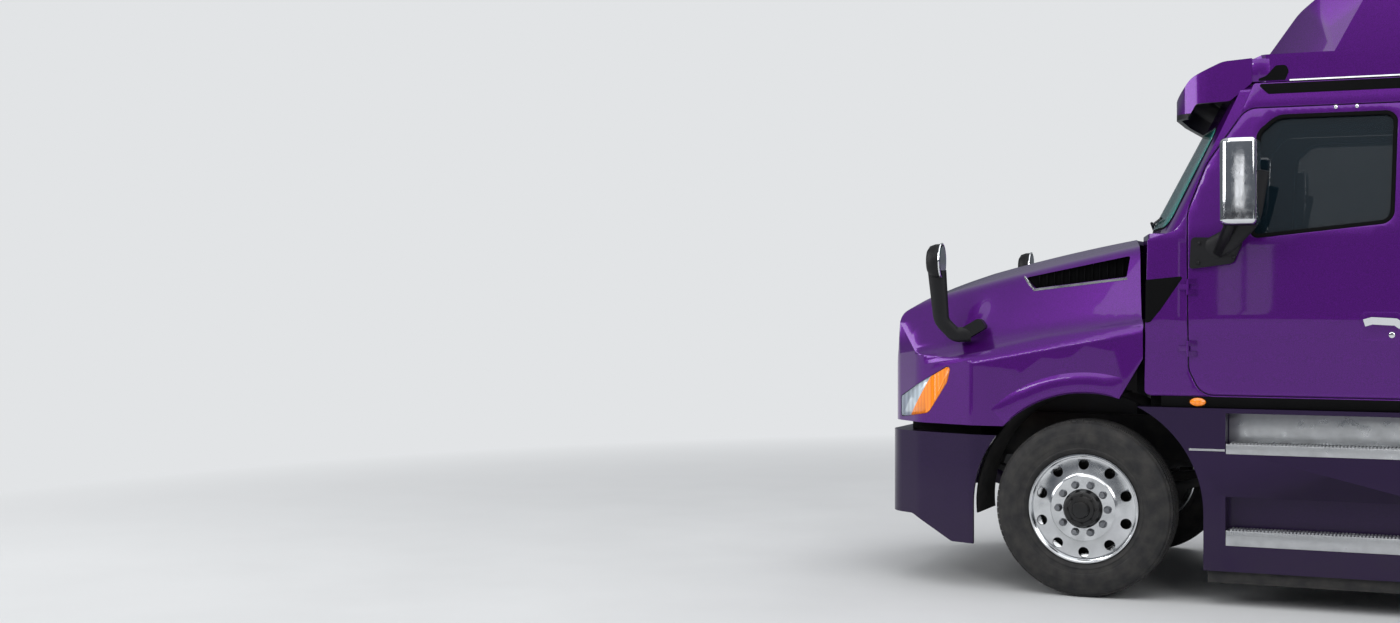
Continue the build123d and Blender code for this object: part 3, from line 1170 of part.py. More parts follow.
def build():
    """All nodes by name, in truck coordinates counted from the front axle."""
    nodes = {}
    nodes["frame"] = frame()
    nodes["front_axle"] = front_axle()
    nodes["front_springs"] = front_springs()
    nodes["drive_axles"] = [*[drive_axle(y) for y in DRIVE_AXLES_Y], *driveshafts()]
    nodes["rear_suspension"] = rear_suspension()
    nodes["engine"] = engine()
    nodes["radiator"] = radiator()
    nodes["fuel_tanks"] = fuel_tanks()
    nodes["bumper"] = bumper()
    nodes["fifth_wheel"] = coupler()
    nodes["fifth_wheel_base"] = coupler_base()
    nodes["mud_flaps"] = mud_flaps()
    nodes["tail_lights"] = tail_lights()
    nodes["deck_plate"] = deck_plate()
    nodes["cab"] = cab()
    nodes["sleeper"] = sleeper()
    nodes["roof"] = roof()
    nodes["sun_visor"] = sun_visor()
    nodes["windshield"] = windshield()
    nodes["sleeper_windows"] = sleeper_windows()
    nodes["dashboard"] = dashboard()
    nodes["seats"] = seats()
    nodes["bunk"] = bunk()
    nodes["steering_wheel"] = steering_wheel()
    nodes["side_extenders"] = side_extenders()
    nodes["step_treads"] = step_treads()
    nodes["hood"] = hood()
    nodes["grille"] = grille()
    nodes["headlights"] = headlights()
    nodes["hood_mirrors"] = hood_mirrors()
    nodes["wheel_liners"] = hood_liners()

    left = {"fairing": fairing(), "door": door(), "door_glass": door_glass(), "mirror": door_mirror(),
            "knuckle": knuckle()}
    for name, piece in left.items():
        nodes[f"{name}_left"] = piece
        nodes[f"{name}_right"] = mirrored(piece)

    rubber, steer, drive = tyre(), steer_wheel(), drive_wheels()
    sets = {"front": ([wheel_place(STEER_TYRE_X, 0) * rubber], wheel_place(STEER_TYRE_X, 0) * steer)}
    for place, y in zip(("drive_fore", "drive_aft"), DRIVE_AXLES_Y):
        pair = [wheel_place(x, y) * rubber for x in (DUAL_OUTER_X, DUAL_OUTER_X - DUAL_SPACING)]
        sets[place] = (pair, wheel_place(DUAL_OUTER_X, y) * drive)
    for place, (tyres, wheel) in sets.items():
        nodes[f"tyre_{place}_left"] = tyres
        nodes[f"tyre_{place}_right"] = [mirrored(t) for t in tyres]
        nodes[f"wheel_{place}_left"] = wheel
        nodes[f"wheel_{place}_right"] = mirrored(wheel)
    return nodes


def write(nodes):
    """Writes one file per node, moved to the truck's own origin."""
    os.makedirs("parts", exist_ok=True)
    for name, piece in nodes.items():
        pieces = piece if isinstance(piece, (list, tuple)) else [piece]
        solids = [solid for p in pieces for solid in p.solids()]
        placed = [Pos(0, FRONT_AXLE_AT, 0) * solid for solid in solids]
        export_step(placed[0] if len(placed) == 1 else Compound(placed), f"parts/{name}.step")


write(build())
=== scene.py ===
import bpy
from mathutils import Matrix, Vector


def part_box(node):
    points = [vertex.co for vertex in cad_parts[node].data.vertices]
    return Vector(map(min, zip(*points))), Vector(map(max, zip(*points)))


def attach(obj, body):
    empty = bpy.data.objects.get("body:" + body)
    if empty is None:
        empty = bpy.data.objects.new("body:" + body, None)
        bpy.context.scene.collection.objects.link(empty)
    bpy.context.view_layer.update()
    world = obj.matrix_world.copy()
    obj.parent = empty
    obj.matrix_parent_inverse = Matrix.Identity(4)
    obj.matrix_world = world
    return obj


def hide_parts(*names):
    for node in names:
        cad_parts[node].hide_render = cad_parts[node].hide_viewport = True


bl_info = {
    "name": "Road Tractor",
    "version": (1, 0, 0),
    "blender": (4, 5, 0),
    "location": "View3D > Sidebar > Tractor",
    "description": "Builds the bodywork, wheels, glass and trim of a raised-roof sleeper tractor",
    "category": "Add Mesh",
}

from math import atan, copysign, cos, pi, radians, sin, tan

import bmesh
import bpy
import numpy as np
from mathutils import Matrix, Vector
from mathutils.bvhtree import BVHTree
from mathutils.geometry import delaunay_2d_cdt

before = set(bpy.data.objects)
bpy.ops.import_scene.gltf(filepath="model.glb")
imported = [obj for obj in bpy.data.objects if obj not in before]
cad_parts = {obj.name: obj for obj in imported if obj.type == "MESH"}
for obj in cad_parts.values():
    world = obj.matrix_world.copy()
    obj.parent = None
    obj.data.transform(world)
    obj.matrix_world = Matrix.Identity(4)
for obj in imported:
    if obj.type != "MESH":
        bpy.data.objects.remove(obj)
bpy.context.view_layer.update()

# Places on the truck, in metres. Y is counted from the front axle, as on a maker's drawing,
# and AXLE_Y moves it to the frame's own origin under the middle of the truck.
TYRE_LOW, TYRE_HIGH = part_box("tyre_front_left")
AXLE_Y = (TYRE_LOW.y + TYRE_HIGH.y) / 2
TYRE_R = (TYRE_HIGH.z - TYRE_LOW.z) / 2
CAB_REAR_Y = 1.950
SLEEPER_REAR_Y = 3.780
FLOOR_Z = 1.180
COWL_TOP_Z = 2.105
GUTTER_Z = 2.955
ARCH_Y = 0.010
ARCH_R = 0.670
SIDES = ((1, "left"), (-1, "right"))
MIRRORED = Matrix.Diagonal((-1, 1, 1, 1))


# Colours are written as sRGB hex values

def linear(code):
    """sRGB hex to linear RGBA."""
    levels = [int(code[i:i + 2], 16) / 255 for i in (1, 3, 5)]
    return (*[c / 12.92 if c <= 0.04045 else ((c + 0.055) / 1.055) ** 2.4 for c in levels], 1.0)


def colour(name, code, description):
    """A colour that a user can change."""
    return bpy.props.FloatVectorProperty(name=name, description=description, default=linear(code),
                                         subtype="COLOR", size=4, min=0.0, max=1.0)


def length(name, size, description):
    """A length that a user can change, in metres."""
    return bpy.props.FloatProperty(name=name, description=description, default=size, min=0.0,
                                   subtype="DISTANCE", unit="LENGTH")


class TractorFinish(bpy.types.PropertyGroup):
    """Colours of the truck's main finishes."""
    paint: colour("Paint", "#560B7C", "Metallic basecoat under the clear coat")
    # Lower paint is the same purple as the body paint, drawn darker for the bumper and fairings low on the
    # truck
    lower_paint: colour("Lower Paint", "#250E3C", "Basecoat of the lower fairings")
    aluminium: colour("Aluminium", "#D9DBDD", "Polished aluminium of wheels, tanks and steps")
    rubber: colour("Rubber", "#1B1B1D", "Tyre rubber")
    black_trim: colour("Black Trim", "#101013", "Moulded black plastic")
    chassis: colour("Chassis", "#141416", "Satin chassis paint")
    amber: colour("Amber", "#FF8A12", "Marker and turn lenses")
    red: colour("Red", "#B3100C", "Tail lamp lenses")
    trim: colour("Cab Trim", "#4C4C52", "Moulded panels inside the cab")
    cloth: colour("Upholstery", "#3A3A42", "Woven cloth of the chairs and the bunk")


class TractorSizes(bpy.types.PropertyGroup):
    """Sizes of what this model adds to the frame."""
    skin: length("Skin", 0.0025, "How far outer panels stand off the cab's structure")
    panel: length("Panel", 0.006, "Thickness of an outer panel")
    seam: length("Seam", 0.003, "Half of the gap between two panels")
    rim: length("Panel Edge", 0.004, "Rounding of a panel's edge")
    tread_depth: length("Tread Depth", 0.013, "Depth of the tyre grooves")
    nut: length("Wheel Nut", 0.033, "Width across the flats of a wheel nut")


# Shapes: points, faces and the material number of each face

class Shape:
    """A mesh in the making."""

    def __init__(self):
        self.points = np.zeros((0, 3))
        self.faces = []
        self.numbers = []

    def add(self, points, faces, number=0, flip=False):
        """Adds faces over new points. The number is one for all of the faces, or a list."""
        start = len(self.points)
        self.points = np.vstack([self.points, np.asarray(points, float).reshape(-1, 3)])
        for face in faces:
            ids = [start + i for i in face]
            self.faces.append(ids[::-1] if flip else ids)
        self.numbers += [number] * len(faces) if isinstance(number, int) else number
        return self

    def join(self, other, move=None):
        """Adds another shape, moved by a 4x4 matrix."""
        if move is None:
            return self.add(other.points, other.faces, other.numbers)
        grid = np.array(move)
        points = other.points @ grid[:3, :3].T + grid[:3, 3]
        return self.add(points, other.faces, other.numbers, np.linalg.det(grid[:3, :3]) < 0)

    def sided(self, side):
        """This shape for the left side (1), or mirrored for the right (-1)."""
        return self if side > 0 else Shape().join(self, MIRRORED)

    def both(self):
        """This shape and its mirror image."""
        return Shape().join(self).join(self, MIRRORED)


def moved(x, y, z):
    """A matrix that moves a shape."""
    return Matrix.Translation((x, y, z))


def rounded(corners, closed=True, steps=6):
    """Points along a line whose corners (coordinates, rounding) are arcs."""
    places = [np.array(c[:-1], float) for c in corners]
    count = len(places)
    out = []
    for i, place in enumerate(places):
        radius = corners[i][-1]
        if radius == 0 or (not closed and i in (0, count - 1)):
            out.append(place)
            continue
        before = place - places[i - 1]
        after = places[(i + 1) % count] - place
        legs = np.linalg.norm(before), np.linalg.norm(after)
        before, after = before / legs[0], after / legs[1]
        turn = np.arccos(np.clip(before @ after, -1, 1))
        reach = min(radius * tan(turn / 2), 0.48 * min(legs))
        start = place - before * reach
        if turn < 0.002:
            out += [start + (after + before) * reach * k / steps for k in range(steps + 1)]
            continue
        arc = reach / tan(turn / 2)
        across = (after - before * cos(turn)) / sin(turn)
        for k in range(steps + 1):
            angle = turn * k / steps
            out.append(start + before * arc * sin(angle) + across * arc * (1 - cos(angle)))
    return np.array(out)


def spaced(points, spacing, closed=True):
    """The same line with extra points, so that no step is longer than spacing."""
    out = []
    count = len(points)
    for i in range(count if closed else count - 1):
        a, b = points[i], points[(i + 1) % count]
        parts = max(1, int(np.ceil(np.linalg.norm(b - a) / spacing)))
        out += [a + (b - a) * k / parts for k in range(parts)]
    if not closed:
        out.append(points[-1])
    return np.array(out)


def grid_faces(rows, columns, close_rows=False, close_columns=False):
    """Quads over a grid of points that is stored row by row."""
    faces = []
    for r in range(rows if close_rows else rows - 1):
        for c in range(columns if close_columns else columns - 1):
            r1, c1 = (r + 1) % rows, (c + 1) % columns
            faces.append([r * columns + c, r * columns + c1, r1 * columns + c1, r1 * columns + c])
    return faces


def area(loop):
    """Signed area of a flat loop."""
    x, y = loop[:, 0], loop[:, 1]
    return 0.5 * float(np.sum(x * np.roll(y, -1) - np.roll(x, -1) * y))


def inset(loop, amount):
    """The loop moved to its left by amount."""
    before = loop - np.roll(loop, 1, axis=0)
    after = np.roll(loop, -1, axis=0) - loop
    before /= np.maximum(np.linalg.norm(before, axis=1, keepdims=True), 1e-9)
    after /= np.maximum(np.linalg.norm(after, axis=1, keepdims=True), 1e-9)
    normals = np.stack([-(before + after)[:, 1], (before + after)[:, 0]], axis=1)
    size = np.maximum(np.linalg.norm(normals, axis=1, keepdims=True), 1e-9)
    normals /= size
    spread = np.maximum(size / 2, 0.35)
    return loop + normals * amount / spread


def inside(points, loop):
    """Which points lie inside a flat loop."""
    x, y = points[:, 0][:, None], points[:, 1][:, None]
    x0, y0 = loop[:, 0][None], loop[:, 1][None]
    x1, y1 = np.roll(loop[:, 0], -1)[None], np.roll(loop[:, 1], -1)[None]
    crosses = (y0 > y) != (y1 > y)
    slope = (x1 - x0) * (y - y0) / np.where(y1 == y0, 1e-12, y1 - y0) + x0
    return (np.sum(crosses & (x < slope), axis=1) % 2) == 1


def plate(lift, edge, holes=(), thickness=0.006, rim=0.004, spacing=0.05, number=0):
    """A curved panel: flat outline and holes, lifted onto a surface, with rounded edges.

    lift takes (n, 2) flat points and returns (n, 3) places. Its outer side is the side of u cross v.
    """
    loops = [edge if area(edge) > 0 else edge[::-1]]
    loops += [hole if area(hole) < 0 else hole[::-1] for hole in holes]
    loops = [spaced(loop, spacing) for loop in loops]
    steps = [0, 30, 60, 90] if rim > 0 else [90]
    flat, drops, rows = [], [], []
    for loop in loops:
        ring = []
        for angle in steps:
            shift = rim * (1 - cos(radians(angle)))
            ring.append(range(len(flat), len(flat) + len(loop)))
            flat += list(inset(loop, shift) if shift else loop)
            drops += [rim * (1 - sin(radians(angle)))] * len(loop)
        rows.append(ring)
    borders = [np.array([flat[i] for i in ring[-1]]) for ring in rows]
    low, high = borders[0].min(0), borders[0].max(0)
    across = np.arange(low[0] + spacing / 2, high[0], spacing)
    up = np.arange(low[1] + spacing / 2, high[1], spacing)
    inner = np.array(np.meshgrid(across, up)).reshape(2, -1).T
    keep = inside(inner, borders[0])
    for border in borders[1:]:
        keep &= ~inside(inner, border)
    inner = inner[keep]
    outline = np.vstack(borders)
    if len(inner):
        gap = np.sqrt(((inner[:, None] - outline[None]) ** 2).sum(2)).min(1)
        inner = inner[gap > spacing * 0.45]
    first = len(flat)
    flat += list(inner)
    drops += [0.0] * len(inner)
    ids = [i for ring in rows for i in ring[-1]] + list(range(first, len(flat)))
    edges, at = [], 0
    for border in borders:
        edges += [(at + k, at + (k + 1) % len(border)) for k in range(len(border))]
        at += len(border)
    result = delaunay_2d_cdt([Vector(flat[i]) for i in ids], edges, [], 1, 1e-7)
    found = result[3]
    spots = np.array([list(p) for p in result[0]])
    back = [ids[source[0]] if source else None for source in found]
    triangles = []
    for tri in result[2]:
        middle = spots[list(tri)].mean(0)[None]
        if not inside(middle, borders[0])[0] or any(inside(middle, border)[0] for border in borders[1:]):
            continue
        if all(back[i] is not None for i in tri):
            corners = [back[i] for i in tri]
            u, v, w = (np.array(flat[i]) for i in corners)
            turn = (v[0] - u[0]) * (w[1] - u[1]) - (v[1] - u[1]) * (w[0] - u[0])
            triangles.append(corners if turn > 0 else corners[::-1])
    flat, drops = np.array(flat), np.array(drops)[:, None]
    base = lift(flat)
    tiny = 1e-4
    across = lift(flat + [tiny, 0]) - lift(flat - [tiny, 0])
    up = lift(flat + [0, tiny]) - lift(flat - [0, tiny])
    normals = np.cross(across, up)
    normals /= np.maximum(np.linalg.norm(normals, axis=1, keepdims=True), 1e-12)
    top = base - normals * drops
    bottom = base - normals * thickness
    count = len(flat)
    rims = []
    for ring in rows:
        size = len(ring[0])
        for a, b in zip(ring[:-1], ring[1:]):
            rims += [[a[k], a[(k + 1) % size], b[(k + 1) % size], b[k]] for k in range(size)]
    walls = []
    for ring in rows:
        outer = ring[0]
        size = len(outer)
        walls += [[outer[(k + 1) % size], outer[k], count + outer[k], count + outer[(k + 1) % size]]
                  for k in range(size)]
    under = [[count + i for i in reversed(face)] for face in triangles + rims]
    return Shape().add(np.vstack([top, bottom]), triangles + rims + walls + under, number)


def loft(rows, closed=False, number=0, flip=False, caps=False):
    """Skin over rows of points that all have the same count."""
    points = np.array(rows)
    count, size = points.shape[:2]
    shape = Shape().add(points.reshape(-1, 3), grid_faces(count, size, close_columns=closed), number, flip)
    if caps:
        shape.add(points[0], [list(range(size))[::-1]], number, flip)
        shape.add(points[-1], [list(range(size))], number, flip)
    return shape


def turned(profile, axis="X", steps=64, number=0, closed=True):
    """Profile of (along, radius) turned about an axis through the origin."""
    angles = np.arange(steps) * 2 * pi / steps
    profile = np.array(profile)
    order = {"X": (0, 1, 2), "Y": (1, 2, 0), "Z": (2, 0, 1)}[axis]
    rows = []
    for angle in angles:
        row = np.zeros((len(profile), 3))
        row[:, order[0]] = profile[:, 0]
        row[:, order[1]] = profile[:, 1] * cos(angle)
        row[:, order[2]] = profile[:, 1] * sin(angle)
        rows.append(row)
    points = np.array(rows).reshape(-1, 3)
    faces = grid_faces(steps, len(profile), close_rows=True, close_columns=closed)
    return Shape().add(points, faces, number, flip=True)


def knob(profile, axis="X", steps=24, number=0):
    """A round solid whose profile starts and ends on the axis."""
    return turned(profile, axis, steps, number, closed=False)


def swept(path, section, closed=False, up=(0, 0, 1), scale=None):
    """A section (a, b) carried along a path of points, ends capped."""
    path = np.array(path, float)
    section = np.array(section, float)
    count = len(path)
    rows = []
    for i in range(count):
        a = path[i - 1] if closed or i else path[0]
        b = path[(i + 1) % count] if closed or i < count - 1 else path[-1]
        along = Vector(b - a).normalized()
        side = along.cross(Vector(up))
        side = side.normalized() if side.length > 1e-6 else Vector((1, 0, 0))
        rise = np.array(side.cross(along))
        side = np.array(side)
        size = 1.0 if scale is None else scale[i]
        rows.append([path[i] + side * s[0] * size + rise * s[1] * size for s in section])
    points = np.array(rows)
    size = len(section)
    faces = grid_faces(count, size, close_rows=closed, close_columns=True)
    shape = Shape().add(points.reshape(-1, 3), faces, flip=True)
    if not closed:
        shape.add(points[0], [list(range(size))])
        shape.add(points[-1], [list(range(size))[::-1]])
    return shape


def oval(a, b, steps):
    """Points of an ellipse with the half axes a and b."""
    return [(a * cos(2 * pi * k / steps), b * sin(2 * pi * k / steps)) for k in range(steps)]


def brick(x0, x1, y0, y1, z0, z1, edge=0.004, number=0):
    """A block with rounded upright edges and softened ends."""
    ring = rounded([(x0, y0, edge), (x1, y0, edge), (x1, y1, edge), (x0, y1, edge)], steps=2)
    rows = []
    for z, shrink in ((z0, edge), (z0 + edge * 0.3, edge * 0.3), (z0 + edge, 0), (z1 - edge, 0),
                      (z1 - edge * 0.3, edge * 0.3), (z1, edge)):
        loop = inset(ring, shrink * 0.9) if shrink else ring
        rows.append(np.column_stack([loop, np.full(len(loop), z)]))
    return loft(rows, closed=True, number=number, caps=True)


# Finishes

def put(node, values):
    """Fills a node's inputs, by name or in their order: sockets are linked, other values set."""
    for key, value in values.items() if isinstance(values, dict) else enumerate(values):
        if isinstance(value, bpy.types.NodeSocket):
            node.id_data.links.new(value, node.inputs[key])
        else:
            node.inputs[key].default_value = value


def add(tree, kind, values=(), **settings):
    """One node with its settings and inputs."""
    node = tree.nodes.new(kind)
    for key, value in settings.items():
        setattr(node, key, value)
    put(node, values)
    return node


def finish(name, base, values):
    """A material with its shader, the node tree and the object coordinates."""
    material = bpy.data.materials.new(name)
    material.use_nodes = True
    tree = material.node_tree
    tree.nodes.clear()
    shader = add(tree, "ShaderNodeBsdfPrincipled", {"Base Color": base, **values})
    add(tree, "ShaderNodeOutputMaterial", {"Surface": shader.outputs[0]})
    return material, tree, shader, add(tree, "ShaderNodeTexCoord").outputs["Object"]


def tone(base, factor):
    """A lighter or darker version of a colour."""
    return (*[min(1.0, c * factor) for c in base[:3]], 1.0)


def patches(tree, spot, size, detail, low, high, least, most):
    """Cloudy patches about size metres across, whose values go from least to most."""
    cloud = add(tree, "ShaderNodeTexNoise", {"Vector": spot, "Scale": 1 / size, "Detail": detail})
    return add(tree, "ShaderNodeMapRange", (cloud.outputs[0], low, high, least, most)).outputs[0]


def relief(tree, spot, size, detail, strength, distance):
    """Uneven relief with a grain of about size metres."""
    grain = add(tree, "ShaderNodeTexNoise", {"Vector": spot, "Scale": 1 / size, "Detail": detail})
    return add(tree, "ShaderNodeBump", {"Strength": strength, "Distance": distance,
                                        "Height": grain.outputs[0]}).outputs[0]


def metallic_paint(name, base, dust=0.35, coat=1.0):
    """Clear-coated metallic basecoat: flakes sparkle under a mirror-smooth, faintly rippled coat."""
    material, tree, shader, spot = finish(name, base, {
        "Metallic": 0.7, "Roughness": 0.32, "Coat Weight": coat, "Coat Roughness": 0.03, "Coat IOR": 1.36})
    fleck = patches(tree, spot, 0.0035, 2.0, 0.35, 0.65, 0.0, 1.0)
    metal = add(tree, "ShaderNodeMix", {0: fleck, 6: tone(base, 0.75), 7: tone(base, 1.35)},
                data_type="RGBA").outputs[2]
    height = add(tree, "ShaderNodeSeparateXYZ", (spot,)).outputs["Z"]
    low = add(tree, "ShaderNodeMapRange", (height, 0.25, 0.75, dust, 0.0)).outputs[0]
    patch = add(tree, "ShaderNodeTexNoise", {"Vector": spot, "Scale": 1 / 0.18, "Detail": 4.0}).outputs[0]
    film = add(tree, "ShaderNodeMath", (low, patch), operation="MULTIPLY").outputs[0]
    shown = add(tree, "ShaderNodeMix", {0: film, 6: metal, 7: linear("#3E3646")}, data_type="RGBA").outputs[2]
    rough = add(tree, "ShaderNodeMath", (film, 0.34), operation="ADD").outputs[0]
    ripple = relief(tree, spot, 0.02, 1.0, 0.02, 0.001)
    put(shader, {"Base Color": shown, "Roughness": rough, "Coat Normal": ripple})
    return material


def moulded_plastic(name, base, rough=0.48, shine=0.5):
    """Black injection-moulded plastic with a fine leather-like grain."""
    material, tree, shader, spot = finish(name, base, {"Roughness": rough, "Specular IOR Level": shine})
    cells = add(tree, "ShaderNodeTexVoronoi", {"Vector": spot, "Scale": 1 / 0.004}).outputs[0]
    fade = patches(tree, spot, 0.15, 3.0, 0.4, 0.7, 0.0, 0.6)
    shown = add(tree, "ShaderNodeMix", {0: fade, 6: base, 7: tone(base, 1.7)}, data_type="RGBA").outputs[2]
    leather = add(tree, "ShaderNodeBump", {"Strength": 0.15, "Distance": 0.0006, "Height": cells}).outputs[0]
    put(shader, {"Base Color": shown, "Normal": leather})
    return material


def bright_metal(name, base, rough=0.16, size=0.01, stretch=None, scratch=0.06):
    """Polished or machined aluminium: mirror-like with fine tool marks and a cloudy film."""
    material, tree, shader, spot = finish(name, base, {"Metallic": 1.0, "Roughness": rough})
    cloud = add(tree, "ShaderNodeTexNoise", {"Vector": spot, "Scale": 1 / 0.09, "Detail": 5.0}).outputs[0]
    film = add(tree, "ShaderNodeMapRange", (cloud, 0.35, 0.7, 0.0, 0.55)).outputs[0]
    shown = add(tree, "ShaderNodeMix", {0: film, 6: base, 7: tone(base, 0.72)}, data_type="RGBA").outputs[2]
    dull = add(tree, "ShaderNodeMapRange", (cloud, 0.3, 0.7, rough * 0.7, rough * 1.7)).outputs[0]
    if stretch:
        spot = add(tree, "ShaderNodeMapping", {"Scale": stretch, "Vector": spot}).outputs[0]
    marks = relief(tree, spot, size, 2.0, scratch, 0.0006)
    put(shader, {"Base Color": shown, "Roughness": dull, "Normal": marks})
    return material


def chrome_plate(name, base):
    """Chromium plating: neutral mirror with a trace of haze."""
    material, tree, shader, spot = finish(name, base, {"Metallic": 1.0, "Roughness": 0.06})
    put(shader, {"Roughness": patches(tree, spot, 0.05, 3.0, 0.35, 0.7, 0.04, 0.13)})
    return material


def chassis_paint(name, base, rough=0.5, dust=0.5):
    """Satin paint over steel with road dust settled in patches."""
    material, tree, shader, spot = finish(name, base, {"Roughness": rough})
    patch = patches(tree, spot, 0.12, 5.0, 0.45, 0.75, 0.0, dust)
    shown = add(tree, "ShaderNodeMix", {0: patch, 6: base, 7: linear("#4A4640")}, data_type="RGBA").outputs[2]
    dull = add(tree, "ShaderNodeMapRange", (patch, 0.0, 1.0, rough, 0.85)).outputs[0]
    peel = relief(tree, spot, 0.008, 4.0, 0.12, 0.001)
    put(shader, {"Base Color": shown, "Roughness": dull, "Normal": peel})
    return material


def tyre_rubber(name, base):
    """Cured rubber: matt, slightly brown with road dust in patches."""
    material, tree, shader, spot = finish(name, base, {"Roughness": 0.72})
    patch = patches(tree, spot, 0.07, 6.0, 0.35, 0.75, 0.0, 0.55)
    shown = add(tree, "ShaderNodeMix", {0: patch, 6: base, 7: linear("#45423E")}, data_type="RGBA").outputs[2]
    put(shader, {"Base Color": shown, "Normal": relief(tree, spot, 0.003, 3.0, 0.2, 0.0008)})
    return material


def clear_glass(name, base, rough=0.0, alpha=0.28):
    """Laminated glass: tinted, thin and reflective, drawn as a coated clear sheet."""
    material, tree, shader, spot = finish(name, base, {
        "Roughness": rough, "Alpha": alpha, "Coat Weight": 1.0, "Coat Roughness": 0.01, "IOR": 1.5})
    put(shader, {"Roughness": patches(tree, spot, 0.25, 3.0, 0.35, 0.75, rough, rough + 0.06)})
    return material


def lens(name, base, rough=0.12, size=0.012, glow=0.25):
    """Moulded polycarbonate lens with shallow optic ribs, lit a little from within."""
    material, tree, shader, spot = finish(name, base, {
        "Roughness": rough, "Coat Weight": 1.0, "Emission Color": base, "Emission Strength": glow})
    ribs = add(tree, "ShaderNodeTexWave", {"Vector": spot, "Scale": 0.16 / size, "Distortion": 0.0},
               bands_direction="Y").outputs[1]
    shown = add(tree, "ShaderNodeMix", {0: ribs, 6: tone(base, 0.75), 7: tone(base, 1.1)},
                data_type="RGBA").outputs[2]
    optics = add(tree, "ShaderNodeBump", {"Strength": 0.3, "Distance": 0.002, "Height": ribs}).outputs[0]
    put(shader, {"Base Color": shown, "Normal": optics})
    return material


def woven_cloth(name, base):
    """Flat-woven upholstery: crossed threads, drawn coarser than real so that they show."""
    material, tree, shader, spot = finish(name, base, {"Roughness": 0.9, "Sheen Weight": 0.35})
    wave = {"Vector": spot, "Scale": 0.16 / 0.006, "Distortion": 0.6, "Detail Scale": 2.0}
    threads = [add(tree, "ShaderNodeTexWave", wave, bands_direction=way).outputs[1] for way in ("X", "Z")]
    weave = add(tree, "ShaderNodeMath", threads, operation="MULTIPLY").outputs[0]
    shown = add(tree, "ShaderNodeMix", {0: weave, 6: tone(base, 0.55), 7: tone(base, 1.35)},
                data_type="RGBA").outputs[2]
    cloth = add(tree, "ShaderNodeBump", {"Strength": 0.4, "Distance": 0.001, "Height": weave}).outputs[0]
    put(shader, {"Base Color": shown, "Normal": cloth})
    return material


def finishes():
    """All finishes by name, made once."""
    if "Basecoat Metallic" in bpy.data.materials:
        return {m["key"]: m for m in bpy.data.materials if "key" in m}
    look = bpy.context.scene.tractor_finish
    aluminium = tuple(look.aluminium)
    made = {
        "paint": metallic_paint("Basecoat Metallic", tuple(look.paint)),
        # The same purple as the body paint, drawn darker for the bumper and fairings low on the truck
        "lower_paint": metallic_paint("Basecoat Metallic Lower", tuple(look.lower_paint), 0.5, 0.55),
        "aluminium": bright_metal("Polished Aluminium", aluminium),
        "tread_plate": bright_metal("Serrated Aluminium", tone(aluminium, 0.85), 0.34, 0.006),
        "chrome": chrome_plate("Chromium Plate", linear("#E3E5E8")),
        "trim": moulded_plastic("Moulded Black Plastic", tuple(look.black_trim), shine=0.3),
        # Near-black rubber of seals and joints, also laid as painted shade under the hood, in the hand-hole
        # bores, in the gutter band and on the cowl side
        "gap": moulded_plastic("Gasket Rubber", linear("#050506"), 0.8, shine=0.12),
        "chassis": chassis_paint("Satin Chassis Paint", tuple(look.chassis)),
        "casting": chassis_paint("Grey Casting", linear("#3C3D40"), 0.6),
        "core": bright_metal("Brazed Core", linear("#77787C"), 0.5, 0.004, (1, 1, 12), 0.5),
        "rubber": tyre_rubber("Cured Rubber", tuple(look.rubber)),
        "flap": tyre_rubber("Flap Rubber", linear("#1E1E20")),
        "glass": clear_glass("Laminated Glass", linear("#14222A"), 0.0, 0.62),
        "screen_glass": clear_glass("Tinted Windshield Glass", linear("#3F9A93"), 0.0, 0.70),
        "dark_glass": clear_glass("Privacy Glass", linear("#0B0D10"), 0.02, 0.86),
        "mirror": chrome_plate("Silvered Mirror", linear("#F2F4F6")),
        "amber": lens("Amber Lens", tuple(look.amber)),
        "red": lens("Red Lens", tuple(look.red)),
        "clear_lens": lens("Clear Lens", linear("#C9D6E0"), 0.06, 0.02, 0.1),
        "cab_trim": moulded_plastic("Grained Cab Trim", tuple(look.trim), 0.6),
        "dash": moulded_plastic("Dark Dash Moulding", linear("#1F2024"), 0.55),
        "cloth": woven_cloth("Woven Upholstery", tuple(look.cloth)),
        "grease": chassis_paint("Greased Casting", linear("#19181A"), 0.28, 0.3),
        "hub": chassis_paint("Hub Enamel", linear("#101012"), 0.38, 0.2),
        "nut": bright_metal("Plated Nut", linear("#8C8E92"), 0.3, 0.004),
        "brushed": bright_metal("Brushed Aluminium", tone(aluminium, 0.8), 0.3, 0.002, (1, 0.05, 1), 0.2),
    }
    for key, material in made.items():
        material["key"] = key
    return made


def mesh_of(name, shape):
    """A new mesh with a shape's points and faces."""
    mesh = bpy.data.meshes.new(name)
    mesh.from_pydata([tuple(p) for p in shape.points], [], shape.faces)
    return mesh


def shape_of(mesh):
    """A shape with a mesh's points and faces."""
    return Shape().add([v.co[:] for v in mesh.vertices], [list(p.vertices) for p in mesh.polygons])


def placed(name, mesh, finish_keys=()):
    """A new object in the scene, its mesh with the finishes that are named."""
    for key in [finish_keys] if isinstance(finish_keys, str) else finish_keys:
        mesh.materials.append(finishes()[key])
    obj = bpy.data.objects.new(name, mesh)
    bpy.context.scene.collection.objects.link(obj)
    return obj


def changed(obj, kind, inputs=None, **settings):
    """An object's mesh as one modifier makes it."""
    step = obj.modifiers.new("step", kind)
    for key, value in settings.items():
        setattr(step, key, value)
    for key, value in (inputs or {}).items():
        step[key] = value
    graph = bpy.context.evaluated_depsgraph_get()
    mesh = bpy.data.meshes.new_from_object(obj.evaluated_get(graph))
    obj.modifiers.remove(step)
    return mesh


def shaded(obj, sharp):
    """Smooth shading that breaks at edges sharper than an angle in degrees."""
    obj.data.shade_smooth()
    obj.data.set_sharp_from_angle(angle=radians(sharp))


